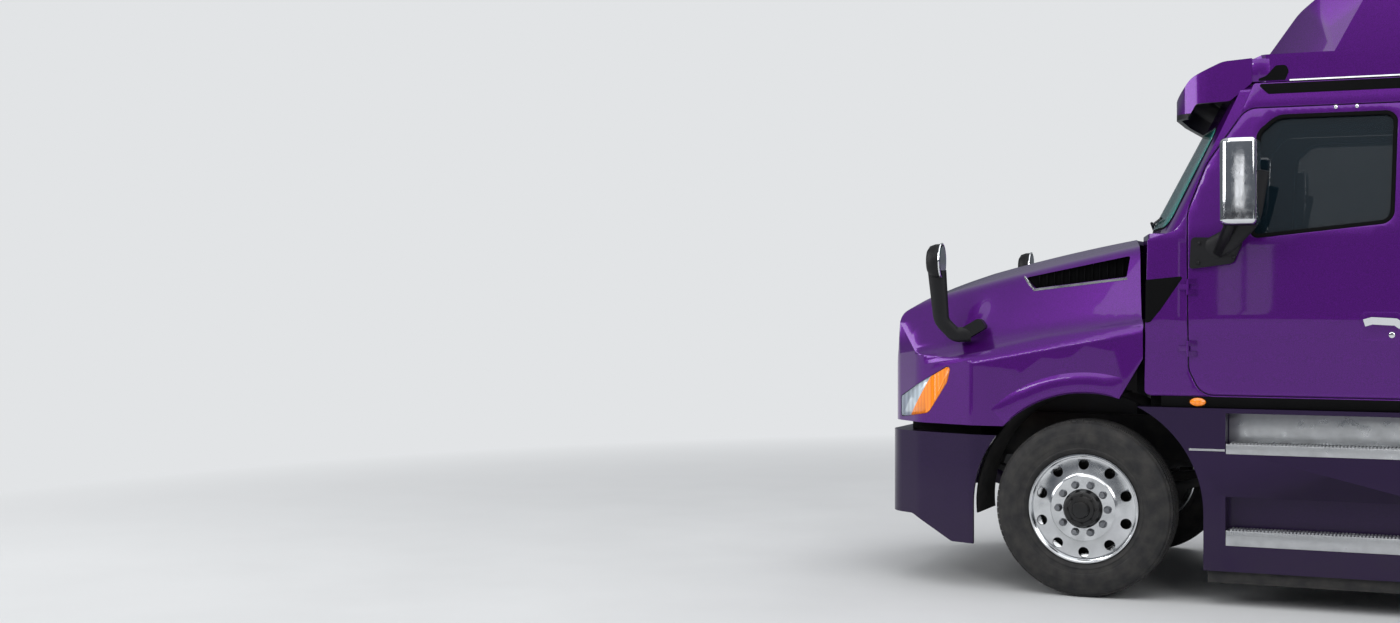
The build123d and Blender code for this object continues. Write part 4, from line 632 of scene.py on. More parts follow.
def piece(name, shape, finish_keys, body, smooth=35.0, replaces=(), weld=True):
    """Makes an object of a shape, gives it finishes, and hangs it on a body of the frame."""
    mesh = mesh_of(name, shape)
    obj = placed(name, mesh, finish_keys)
    mesh.polygons.foreach_set("material_index", np.array(shape.numbers, dtype=np.int32))
    mesh.update()
    if weld:
        work = bmesh.new()
        work.from_mesh(mesh)
        bmesh.ops.remove_doubles(work, verts=work.verts, dist=2e-5)
        bmesh.ops.dissolve_degenerate(work, edges=work.edges, dist=1e-6)
        work.to_mesh(mesh)
        work.free()
    shaded(obj, smooth)
    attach(obj, body)
    if replaces:
        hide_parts(*replaces)
    return obj


def cut(obj, shape):
    """Takes a closed shape out of an object."""
    mesh = mesh_of("cutter", shape)
    work = bmesh.new()
    work.from_mesh(mesh)
    bmesh.ops.recalc_face_normals(work, faces=work.faces)
    work.to_mesh(mesh)
    work.free()
    tool = placed("cutter", mesh)
    obj.data = changed(obj, "BOOLEAN", operation="DIFFERENCE", solver="EXACT", object=tool)
    bpy.data.objects.remove(tool)


def prism_x(outline, x0, x1):
    """A closed prism of a (y, z) outline between two x values."""
    y, z = outline[:, 0] + AXLE_Y, outline[:, 1]
    rows = [np.column_stack([np.full(len(outline), x), y, z]) for x in (x0, x1)]
    return loft(rows, closed=True, caps=True)


def dressed(name, node, finish_keys, body, choose=None, edge=0.0, fold=32.0, split=(), press=None):
    """Stands in for a frame part: its loose triangles merged, edges softened, a finish for each face.

    split lists planes (place, direction) that cut the faces, and press gives how far a point moves out.
    """
    work = bmesh.new()
    work.from_mesh(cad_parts[node].data)
    bmesh.ops.remove_doubles(work, verts=work.verts, dist=1e-5)
    bmesh.ops.dissolve_limit(work, angle_limit=radians(0.05), verts=work.verts, edges=work.edges)
    for place, direction in split:
        every = [*work.verts, *work.edges, *work.faces]
        bmesh.ops.bisect_plane(work, geom=every, dist=1e-5, plane_co=place, plane_no=direction)
    if press:
        work.normal_update()
        for vert in work.verts:
            vert.co += vert.normal * press(vert.co, vert.normal)
    for face in work.faces:
        face.material_index = 0
    if choose:
        tree = BVHTree.FromBMesh(work)
        for face in work.faces:
            middle = face.calc_center_median()
            start = middle + face.normal * 0.003
            hit = tree.ray_cast(start, face.normal, 3.0)[0]
            face.material_index = choose(Spot(middle, face.normal, hit is not None))
    mesh = bpy.data.meshes.new(name)
    work.to_mesh(mesh)
    work.free()
    obj = placed(name, mesh, finish_keys)
    if edge:
        obj.data = changed(obj, "BEVEL", width=edge, segments=2, limit_method="ANGLE",
                           angle_limit=radians(fold))
    shaded(obj, fold)
    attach(obj, body)
    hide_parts(node)
    return obj


class Spot:
    """A face's middle in the truck's measures, its direction, and whether it faces another wall."""

    def __init__(self, middle, normal, walled):
        self.x, self.y, self.z = abs(middle.x), middle.y - AXLE_Y, middle.z
        self.normal = normal
        self.walled = walled


def walled(spot):
    """1 for a face that looks at another wall of its part, 0 for an outer one."""
    return int(spot.walled)


def surface_x(obj):
    """A function that finds how far out an object's left side is at a (y, z) place."""
    tree = BVHTree.FromObject(obj, bpy.context.evaluated_depsgraph_get())

    def find(y, z):
        hit = tree.ray_cast(Vector((2.0, y + AXLE_Y, z)), Vector((-1.0, 0.0, 0.0)), 2.0)[0]
        if hit is None:
            raise ValueError(f"no surface at {y}, {z}")
        return hit.x
    return find


# Repeats made with Geometry Nodes

def node_group(name, sizes):
    """A new Geometry Nodes tree with named size inputs: (name, kind, default)."""
    tree = bpy.data.node_groups.new(name, "GeometryNodeTree")
    for label, kind, default in sizes:
        socket = tree.interface.new_socket(label, in_out="INPUT", socket_type=f"NodeSocket{kind}")
        socket.default_value = default
    tree.interface.new_socket("Geometry", in_out="OUTPUT", socket_type="NodeSocketGeometry")
    return tree, add(tree, "NodeGroupInput").outputs


def finish_group(tree, instances, material):
    """Ends a tree: real meshes with their finish."""
    real = add(tree, "GeometryNodeRealizeInstances", (instances,)).outputs[0]
    shown = add(tree, "GeometryNodeSetMaterial", {"Geometry": real, "Material": material}).outputs[0]
    add(tree, "NodeGroupOutput", (shown,))


def grown(tree, values):
    """The plain shape that a tree makes with the given input values."""
    obj = placed("seed", bpy.data.meshes.new("seed"))
    items = [item for item in tree.interface.items_tree if item.in_out == "INPUT" and item.name in values]
    result = changed(obj, "NODES", {item.identifier: values[item.name] for item in items}, node_group=tree)
    shape = shape_of(result)
    bpy.data.objects.remove(obj)
    bpy.data.meshes.remove(result)
    return shape


def nut_ring():
    """Tree for wheel nuts: hexagons with a round collar on a circle about X."""
    tree, sizes = node_group("Wheel Nuts", (
        ("Circle Radius", "Float", 0.1429), ("Across Flats", "Float", 0.033), ("Height", "Float", 0.030),
        ("Count", "Int", 10)))
    circle = add(tree, "GeometryNodeMeshCircle", (sizes["Count"], sizes["Circle Radius"]))
    corner = add(tree, "ShaderNodeMath", (sizes["Across Flats"], 0.577), operation="MULTIPLY").outputs[0]
    crown, collar = [add(tree, "ShaderNodeMath", (corner, factor), operation="MULTIPLY").outputs[0]
                     for factor in (0.8, 1.22)]
    base, top = [add(tree, "ShaderNodeMath", (sizes["Height"], factor), operation="MULTIPLY").outputs[0]
                 for factor in (0.2, 0.9)]
    hexagon, ring, tip = [
        add(tree, "GeometryNodeMeshCone", {"Vertices": count, "Radius Top": upper, "Radius Bottom": lower,
                                           "Depth": depth}).outputs[0]
        for count, upper, lower, depth in ((6, corner, corner, top), (24, corner, collar, base),
                                           (12, crown, corner, base))]
    rise = add(tree, "ShaderNodeCombineXYZ", {"Z": top}).outputs[0]
    tip = add(tree, "GeometryNodeTransform", {"Geometry": tip, "Translation": rise}).outputs[0]
    nut = add(tree, "GeometryNodeJoinGeometry")
    for part in (hexagon, ring, tip):
        put(nut, (part,))
    nuts = add(tree, "GeometryNodeInstanceOnPoints", {"Points": circle.outputs[0],
                                                      "Instance": nut.outputs[0]}).outputs[0]
    upright = add(tree, "GeometryNodeTransform", {"Rotation": (0.0, pi / 2, 0.0), "Geometry": nuts})
    finish_group(tree, upright.outputs[0], finishes()["nut"])
    return tree


def mesh_screen():
    """Tree for the insect screen behind the grille: six-sided wire rings cut to a trapezoid."""
    tree, sizes = node_group("Mesh Screen", (
        ("Width", "Float", 1.0), ("Height", "Float", 0.5), ("Columns", "Int", 40), ("Rows", "Int", 22),
        ("Ring Radius", "Float", 0.013), ("Wire", "Float", 0.0016), ("Taper", "Float", 0.12)))
    field = add(tree, "GeometryNodeMeshGrid", {"Size X": sizes["Width"], "Size Y": sizes["Height"],
                                               "Vertices X": sizes["Columns"], "Vertices Y": sizes["Rows"]})
    spot = add(tree, "ShaderNodeSeparateXYZ", add(tree, "GeometryNodeInputPosition").outputs).outputs
    out = add(tree, "ShaderNodeMath", (spot["X"],), operation="ABSOLUTE").outputs[0]
    rise = add(tree, "ShaderNodeMath", (spot["Y"], sizes["Taper"]), operation="MULTIPLY").outputs[0]
    edge = add(tree, "ShaderNodeMath", (out, rise), operation="ADD").outputs[0]
    half = add(tree, "ShaderNodeMath", (sizes["Width"], 0.46), operation="MULTIPLY").outputs[0]
    beyond = add(tree, "ShaderNodeMath", (edge, half), operation="GREATER_THAN").outputs[0]
    kept = add(tree, "GeometryNodeDeleteGeometry", (field.outputs[0], beyond)).outputs[0]
    ring, wire = [
        add(tree, "GeometryNodeCurvePrimitiveCircle", {"Resolution": count, "Radius": radius}).outputs[0]
        for count, radius in ((6, sizes["Ring Radius"]), (3, sizes["Wire"]))]
    cell = add(tree, "GeometryNodeCurveToMesh", {"Curve": ring, "Profile Curve": wire}).outputs[0]
    cells = add(tree, "GeometryNodeInstanceOnPoints", {"Points": kept, "Instance": cell}).outputs[0]
    upright = add(tree, "GeometryNodeTransform", {"Rotation": (pi / 2, 0.0, 0.0), "Geometry": cells})
    finish_group(tree, upright.outputs[0], finishes()["trim"])
    return tree


def slot_rows():
    """Tree for the raised teeth of a step tread: small blocks on a grid in X and Y."""
    tree, sizes = node_group("Tread Teeth", (
        ("Depth", "Float", 0.1), ("Length", "Float", 1.0), ("Rows", "Int", 4), ("Columns", "Int", 60),
        ("Tooth", "Vector", (0.012, 0.008, 0.006))))
    field = add(tree, "GeometryNodeMeshGrid", {"Size X": sizes["Depth"], "Size Y": sizes["Length"],
                                               "Vertices X": sizes["Rows"], "Vertices Y": sizes["Columns"]})
    tooth = add(tree, "GeometryNodeMeshCube", {"Size": sizes["Tooth"]}).outputs[0]
    teeth = add(tree, "GeometryNodeInstanceOnPoints", {"Points": field.outputs[0], "Instance": tooth})
    finish_group(tree, teeth.outputs[0], finishes()["tread_plate"])
    return tree


# The cab's side, from its widest line at the belt to the gutter

CAB_SIDE = ((1.158, FLOOR_Z, 0.02), (1.172, 1.640, 0.9), (1.150, 2.110, 0.24), (1.035, GUTTER_Z, 0.0))
CREASE = ((-0.9, 1.345), (-0.25, 1.494), (0.313, 1.582), (0.58, 1.606), (1.0, 1.625), (3.9, 1.640))
CREASE_RISE = 0.007
CREASE_HALF = 0.022


def side_x(y, z):
    """Half width of the cab and sleeper at a place, with the pressed crease that fades rearward."""
    line = rounded(CAB_SIDE, closed=False, steps=24)
    x = np.interp(z, line[:, 1], line[:, 0])
    crease = np.interp(y, [c[0] for c in CREASE], [c[1] for c in CREASE])
    fade = np.clip((1.5 - y) / 0.9, 0, 1)
    return x + CREASE_RISE * fade * np.exp(-((z - crease) / CREASE_HALF) ** 2)


def cab_lift(offset):
    """Lifts (y, z) onto the left side of the cab, offset outward."""
    def lift(flat):
        y, z = flat[:, 0], flat[:, 1]
        return np.column_stack([side_x(y, z) + offset, y + AXLE_Y, z])
    return lift


DOOR_OUTLINE = ((0.590, 1.330, 0.12), (0.578, 2.230, 0.25), (0.678, 2.500, 0.30), (0.890, 2.812, 0.12),
                (1.800, 2.812, 0.09), (1.800, 1.184, 0.06), (0.660, 1.184, 0.11))
WINDOW_OUTLINE = ((0.925, 2.072, 0.04), (0.955, 2.670, 0.09), (1.060, 2.762, 0.12), (1.690, 2.762, 0.06),
                  (1.675, 2.150, 0.07))
SCREEN_RAKE = radians(28.0)
COWL_Y = 0.380
WIDE = 1.300
SCREEN_BOW = ((WIDE, 0.175, 0.0), (1.000, 0.000, 0.5), (0.450, -0.160, 0.9))
SCREEN_SET = 0.025
# The glass is bonded over the pillars, as x and z with rounding
SCREEN_OUTLINE = ((-1.058, COWL_TOP_Z + 0.040, 0.06), (1.058, COWL_TOP_Z + 0.040, 0.06),
                  (1.000, 2.712, 0.08), (-1.000, 2.712, 0.08))
SCREEN_HOLE = ((-0.970, COWL_TOP_Z + 0.060, 0.06), (0.970, COWL_TOP_Z + 0.060, 0.06),
               (0.910, 2.685, 0.08), (-0.910, 2.685, 0.08))
HOOD_GAP_Y = 0.345                 # cab's front edge at its side
# The near-black patch on the cowl side is partly black trim, partly painted shade under the cowl's overhang
COWL_PATCH_FRONT_Y = HOOD_GAP_Y + 0.008
COWL_TRIM_AND_SHADE_OUTLINE = ((COWL_PATCH_FRONT_Y, 1.840, 0.006), (0.566, 1.861, 0.01), (0.437, 1.668, 0.03),
                  (0.384, 1.602, 0.02), (COWL_PATCH_FRONT_Y, 1.594, 0.006))
SKIN_BAND = 0.014                  # faces this close to the cab's side are its painted outside


def bow_line(bow):
    """A front line of the cab across the whole truck, as (x, y) points from right to left."""
    half = [(x, COWL_Y + y, r) for x, y, r in bow]
    return rounded([(-x, y, r) for x, y, r in half] + half[::-1], closed=False, steps=24)


def screen_y(x, z):
    """Where the windshield face lies."""
    line = bow_line(SCREEN_BOW)
    return np.interp(x, line[:, 0], line[:, 1]) + SCREEN_SET + (z - COWL_TOP_Z) * tan(SCREEN_RAKE)


def screen_lift(offset):
    """Lifts (x, z) onto the raked, bowed windshield face, offset forward."""
    def lift(flat):
        x, z = flat[:, 0], flat[:, 1]
        y = screen_y(x, z)
        return np.column_stack([x, y + AXLE_Y - offset * cos(SCREEN_RAKE), z + offset * sin(SCREEN_RAKE)])
    return lift


def cab_skin(spot):
    """0 for the painted outside of the cab, 1 for its trim."""
    outer = spot.x > side_x(spot.y, spot.z) - SKIN_BAND or spot.z > GUTTER_Z - 0.003
    front = COWL_Y + np.interp(spot.x, (0.45, 1.0, WIDE), (-0.170, -0.045, 0.030))
    if spot.z > COWL_TOP_Z:
        front = float(screen_y(spot.x, spot.z))
    return 0 if outer or spot.y < front + 0.03 else 1


class TRACTOR_OT_cab(bpy.types.Operator):
    """Cab shell with its painted outside, trimmed inside, seams and a near-black cowl patch of black trim and
    painted shade
    """
    bl_idname = "tractor.cab"
    bl_label = "Cab Panels"

    def execute(self, context):
        sizes = context.scene.tractor_sizes
        dressed("cab_shell", "cab", ["paint", "cab_trim"], "tractor", cab_skin)
        low, top = FLOOR_Z + 0.002, GUTTER_Z - 0.004
        lift = cab_lift(sizes.skin)
        doorway = rounded(DOOR_OUTLINE, steps=8)
        pillar = [(float(screen_y(1.10, z)) + 0.05, z, 0.0) for z in (2.16, 2.45, 2.70)]
        edge = [(HOOD_GAP_Y, low, 0.03), (CAB_REAR_Y, low, 0.01), (CAB_REAR_Y, top, 0.01), (0.93, top, 0.02),
                *reversed(pillar), (0.50, COWL_TOP_Z + 0.012, 0.03),
                (HOOD_GAP_Y + 0.015, COWL_TOP_Z - 0.03, 0.02)]
        side = plate(lift, rounded(edge), [inset(doorway[::-1], -0.001)], sizes.panel, sizes.rim, 0.05)
        # A flat near-black sheet on the cowl side: partly black trim, partly painted shade under the cowl's
        # overhang
        side.join(plate(cab_lift(sizes.skin + 0.0015), rounded(COWL_TRIM_AND_SHADE_OUTLINE), (), 0.004, 0.001, 0.05, 1))
        piece("cab_sides", side.both(), ["paint", "gap"], "tractor")

        foot = inset(rounded(SCREEN_OUTLINE, steps=8), -0.010)
        seal = plate(screen_lift(0.003), foot, [rounded(SCREEN_HOLE, steps=8)], 0.005, 0.002, 0.06)
        piece("screen_seal", seal, "gap", "tractor")

        # Wipers parked along the foot of the glass
        wipers = Shape()
        for side_sign in (-1, 1):
            points = [(side_sign * s, COWL_TOP_Z + 0.05 + 0.05 * s) for s in (0.10, 0.45, 0.82)]
            pivot = (side_sign * 0.04, COWL_TOP_Z + 0.01)
            wipers.join(swept(screen_lift(0.022)(np.array(points)), oval(0.007, 0.007, 8)))
            wipers.join(swept(screen_lift(0.034)(np.array([pivot, points[1]])), oval(0.009, 0.009, 8)))
            hub = knob([(-0.03, 0.0), (-0.03, 0.02), (0.018, 0.018), (0.024, 0.0)], "Z", 16)
            wipers.join(hub, moved(*screen_lift(0.02)(np.array([pivot]))[0]))
        piece("wipers", wipers, "trim", "tractor")
        return {"FINISHED"}


class TRACTOR_OT_doors(bpy.types.Operator):
    """Outer door panels, handles, locks, window seals and panes"""
    bl_idname = "tractor.doors"
    bl_label = "Doors"

    def execute(self, context):
        sizes = context.scene.tractor_sizes
        outline = inset(rounded(DOOR_OUTLINE, steps=8)[::-1], 0.007)
        window = rounded(WINDOW_OUTLINE, steps=8)
        glass = window[::-1]
        recess = rounded([(1.51, 1.50, 0.03), (1.74, 1.50, 0.06), (1.74, 1.66, 0.06), (1.51, 1.66, 0.03)])
        skin = plate(cab_lift(sizes.skin), outline, [inset(glass, -0.004)], sizes.panel, sizes.rim, 0.045)
        seal = plate(cab_lift(sizes.skin + 0.001), inset(glass, -0.004), [inset(glass, 0.018)],
                     0.02, 0.003, 0.05, 1)
        cup = plate(cab_lift(sizes.skin + 0.0012), recess, (), 0.004, 0.001, 0.05, 2)
        panel = Shape().join(skin).join(seal).join(cup)
        for y in (1.372, 1.482):
            x = float(side_x(y, 2.795)) + sizes.skin
            panel.join(knob([(-0.02, 0.0), (-0.02, 0.011), (0.008, 0.010), (0.013, 0.0)], "X", 16, 3),
                       moved(x, y + AXLE_Y, 2.795))
        grip = [(1.53, 1.600), (1.57, 1.612), (1.69, 1.606), (1.72, 1.585)]
        path = [(float(side_x(y, z)) + 0.022, y + AXLE_Y, z) for y, z in grip]
        handle = swept(spaced(np.array(path), 0.02, False),
                       [(0.012, 0.020), (-0.012, 0.020), (-0.014, -0.016), (0.010, -0.020)])
        lock = knob([(-0.02, 0.0), (-0.02, 0.016), (0.006, 0.016), (0.008, 0.012), (0.008, 0.0)])
        handle.join(lock, moved(float(side_x(1.62, 1.54)) + sizes.skin, 1.67 + AXLE_Y, 1.535))
        pane = plate(cab_lift(-0.018), inset(glass, 0.004), (), 0.006, 0.0, 0.09)
        for side, word in SIDES:
            body = f"door_{word}"
            dressed(f"door_shell_{word}", body, ["paint", "cab_trim"], body,
                    lambda spot: int(spot.x <= side_x(spot.y, spot.z) - SKIN_BAND))
            skins = ["paint", "gap", "paint", "chrome"]
            piece(f"door_skin_{word}", panel.sided(side), skins, body)
            piece(f"door_handle_{word}", handle.sided(side), "chrome", body)
            piece(f"door_pane_{word}", pane.sided(side), "glass", body,
                  replaces=[f"door_glass_{word}"])
        return {"FINISHED"}


SLEEPER_WINDOW = ((2.78, 2.28, 0.07), (3.18, 2.28, 0.07), (3.18, 2.64, 0.07), (2.78, 2.64, 0.07))
LOCKER = ((2.30, 1.26, 0.04), (3.15, 1.26, 0.04), (3.15, 1.86, 0.04), (2.30, 1.86, 0.04))


def sleeper_skin(spot):
    """0 for the painted outside of the sleeper, 1 for its trim."""
    outer = spot.x > side_x(spot.y, spot.z) - SKIN_BAND or spot.y > SLEEPER_REAR_Y - SKIN_BAND
    return 0 if outer else 1


class TRACTOR_OT_sleeper(bpy.types.Operator):
    """Sleeper shell, outer panels, windows and lockers"""
    bl_idname = "tractor.sleeper"
    bl_label = "Sleeper"

    def execute(self, context):
        sizes = context.scene.tractor_sizes
        dressed("sleeper_shell", "sleeper", ["paint", "cab_trim"], "tractor", sleeper_skin)
        front, rear = CAB_REAR_Y + 2 * sizes.seam, SLEEPER_REAR_Y - 0.03
        low, top = FLOOR_Z + 0.002, GUTTER_Z - 0.004
        edge = rounded([(front, low, 0.01), (rear, low, 0), (rear, top, 0), (front, top, 0.01)])
        window = rounded(SLEEPER_WINDOW, steps=8)
        locker = rounded(LOCKER)
        skin = plate(cab_lift(sizes.skin), edge, [inset(window, -0.004), inset(locker, -sizes.seam)],
                     sizes.panel, sizes.rim, 0.06)
        hatch = plate(cab_lift(sizes.skin), inset(locker, sizes.seam), (), sizes.panel, sizes.rim, 0.06)
        back = plate(cab_lift(sizes.skin - 0.006), inset(locker, -0.02), (), 0.002, 0.0, 0.08, 1)
        seal = plate(cab_lift(sizes.skin + 0.001), inset(window, -0.004), [inset(window, 0.018)],
                     0.02, 0.003, 0.05, 1)
        side = Shape().join(skin).join(hatch).join(back).join(seal)
        for y in (2.42, 3.03):
            x = float(side_x(y, 1.84)) + sizes.skin
            y += AXLE_Y
            side.join(brick(x - 0.004, x + 0.010, y - 0.045, y + 0.045, 1.80, 1.83, number=1))
        piece("sleeper_sides", side.both(), ["paint", "gap"], "tractor")
        pane = plate(cab_lift(-0.014), inset(window, 0.004), (), 0.006, 0.0, 0.09)
        piece("sleeper_panes", pane.both(), "dark_glass", "tractor",
              replaces=["sleeper_windows"])
        return {"FINISHED"}


class TRACTOR_OT_glass(bpy.types.Operator):
    """Windshield"""
    bl_idname = "tractor.glass"
    bl_label = "Windshield"

    def execute(self, context):
        pane = plate(screen_lift(0.0075), rounded(SCREEN_OUTLINE, steps=8), (), 0.004, 0.001, 0.06)
        piece("windshield_pane", pane, "screen_glass", "tractor", replaces=["windshield"])
        return {"FINISHED"}


GUTTER_FRONT_Y = 1.125
# Heights of the near-black band under the roof's edge: partly a black gutter seal, partly painted shade under
# the overhang
SEAL_AND_SHADE_BAND = (2.885, 2.945)
BAND_END_OUTLINE = ((0.925, 2.962, 0.01), (1.000, 2.990, 0.05), (1.050, 3.046, 0.03), (1.105, 3.046, 0.02),
                      (1.120, 3.010, 0.03), (1.100, 2.962, 0.01))
VISOR_LIP_Z = 2.80
MARKER_Z = 2.955
MARKER_XS = (-0.80, -0.22, 0.0, 0.22, 0.80)


class TRACTOR_OT_roof(bpy.types.Operator):
    """Raised roof, gutter, near-black band of seal and painted shade, sun visor and marker lamps"""
    bl_idname = "tractor.roof"
    bl_label = "Roof"

    def execute(self, context):
        sizes = context.scene.tractor_sizes
        dressed("roof_shell", "roof", ["paint", "cab_trim"], "tractor", walled, fold=25)
        visor = dressed("visor", "sun_visor", ["paint", "trim"], "tractor",
                        lambda spot: int(spot.walled or spot.normal.z < -0.25 or spot.z < VISOR_LIP_Z),
                        fold=38, split=[((0, 0, VISOR_LIP_Z), (0, 0, 1))])
        # A flat near-black band under the roof's edge: partly a black gutter seal, partly painted shade under
        # the overhang
        low, high = SEAL_AND_SHADE_BAND
        rear = SLEEPER_REAR_Y - 0.02
        band = plate(cab_lift(sizes.skin + 0.0014),
                     rounded([(1.010, low, 0.02), (rear, low, 0), (rear, high, 0), (0.950, high, 0.01)]),
                     (), 0.004, 0.001, 0.08)
        piece("gutter_seal_and_shade", band.both(), "gap", "tractor")
        path = [(float(side_x(2.0, GUTTER_Z)) + 0.004, y + AXLE_Y, GUTTER_Z + 0.004)
                for y in (GUTTER_FRONT_Y, 1.5, 2.5, rear)]
        rail = swept(path, [(0.006, 0.004), (-0.006, 0.004), (-0.008, -0.004), (0.008, -0.004)])
        # Corners that carry the visor's line on into the roof, and on them the near-black end of the band of
        # seal and painted shade
        corner = brick(0.985, 1.0355, 0.905 + AXLE_Y, 1.020 + AXLE_Y, 2.958, 3.090, 0.006)
        piece("roof_corners", corner.both(), "paint", "tractor")
        end = prism_x(rounded(BAND_END_OUTLINE), 1.030, 1.0395)
        piece("band_ends", end.both(), "gap", "tractor")
        piece("gutter_rails", rail.both(), "aluminium", "tractor")

        tree = BVHTree.FromObject(visor, context.evaluated_depsgraph_get())
        lamps, shells = Shape(), Shape()
        lamp = knob([(0.0, 0.036), (0.012, 0.034), (0.022, 0.022), (0.026, 0.0)])
        shell = knob([(-0.01, 0.046), (0.004, 0.045), (0.008, 0.036)])
        for x in MARKER_XS:
            hit, normal, _, _ = tree.ray_cast(Vector((x, -0.5 + AXLE_Y, MARKER_Z)), Vector((0, 1, 0)), 3.0)
            place = Matrix.Translation(hit) @ normal.to_track_quat("X", "Z").to_matrix().to_4x4()
            lamps.join(lamp, place @ Matrix.Diagonal((1, 1.7, 1, 1)))
            shells.join(shell, place @ Matrix.Diagonal((1, 1.6, 1, 1)))
        piece("marker_lenses", lamps, "amber", "tractor")
        piece("marker_bezels", shells, "trim", "tractor")
        return {"FINISHED"}


FLARE_R = 0.790
FLARE_RISE = 0.016
# Lip of the arch: radius and how far it stands out, in parts of its rise
FLARE_PROFILE = ((FLARE_R + 0.012, -0.35), (FLARE_R, 0.0), (FLARE_R - 0.02, 0.6), (FLARE_R - 0.045, 0.95),
                 (ARCH_R + 0.035, 1.0), (ARCH_R + 0.010, 0.8), (ARCH_R + 0.002, 0.2), (ARCH_R + 0.002, -1.6))
VENT_OUTLINE = ((-0.410, 1.860, 0.01), (-0.340, 1.795, 0.01), (0.210, 1.860, 0.01), (0.225, 1.985, 0.01))
VENT_TRIM = ((-0.418, 1.862), (-0.345, 1.786), (0.215, 1.851))
LAMP_SPLIT = (-1.045, 1.110)       # the turn lens starts at this y and z and leans by LAMP_LEAN
LAMP_LEAN = 0.62
HOOD_MIRROR_PLACE = (1.135, -0.900, 1.960)
HOOD_MIRROR_SHELL = ((0.042, 0.86), (0.045, 0.97), (0.034, 1.0), (0.0, 0.98), (-0.030, 0.88), (-0.046, 0.66),
                     (-0.052, 0.30))
HOOD_MIRROR_FOOT = ((-0.780, 1.455, 0.02), (-0.770, 1.545, 0.03), (-0.640, 1.622, 0.03),
                    (-0.598, 1.560, 0.02))
HOOD_MIRROR_STALK = ((1.072, -0.700, 1.520, 0), (1.095, -0.790, 1.515, 0.06), (1.120, -0.868, 1.600, 0.10),
                     (1.126, -0.893, 1.900, 0))


def stalk(corners, spacing, width, waist, widths):
    """A flat oval bar along a bent line. Its width changes from start to waist to end."""
    path = rounded([(x, y + AXLE_Y, z, radius) for x, y, z, radius in corners], closed=False)
    path = spaced(path, spacing, False)
    count = len(path)
    scale = np.interp(np.arange(count), (0, count * waist, count - 1), widths)
    return swept(path, oval(width, 0.018, 16), up=(1, 0, 0), scale=scale)


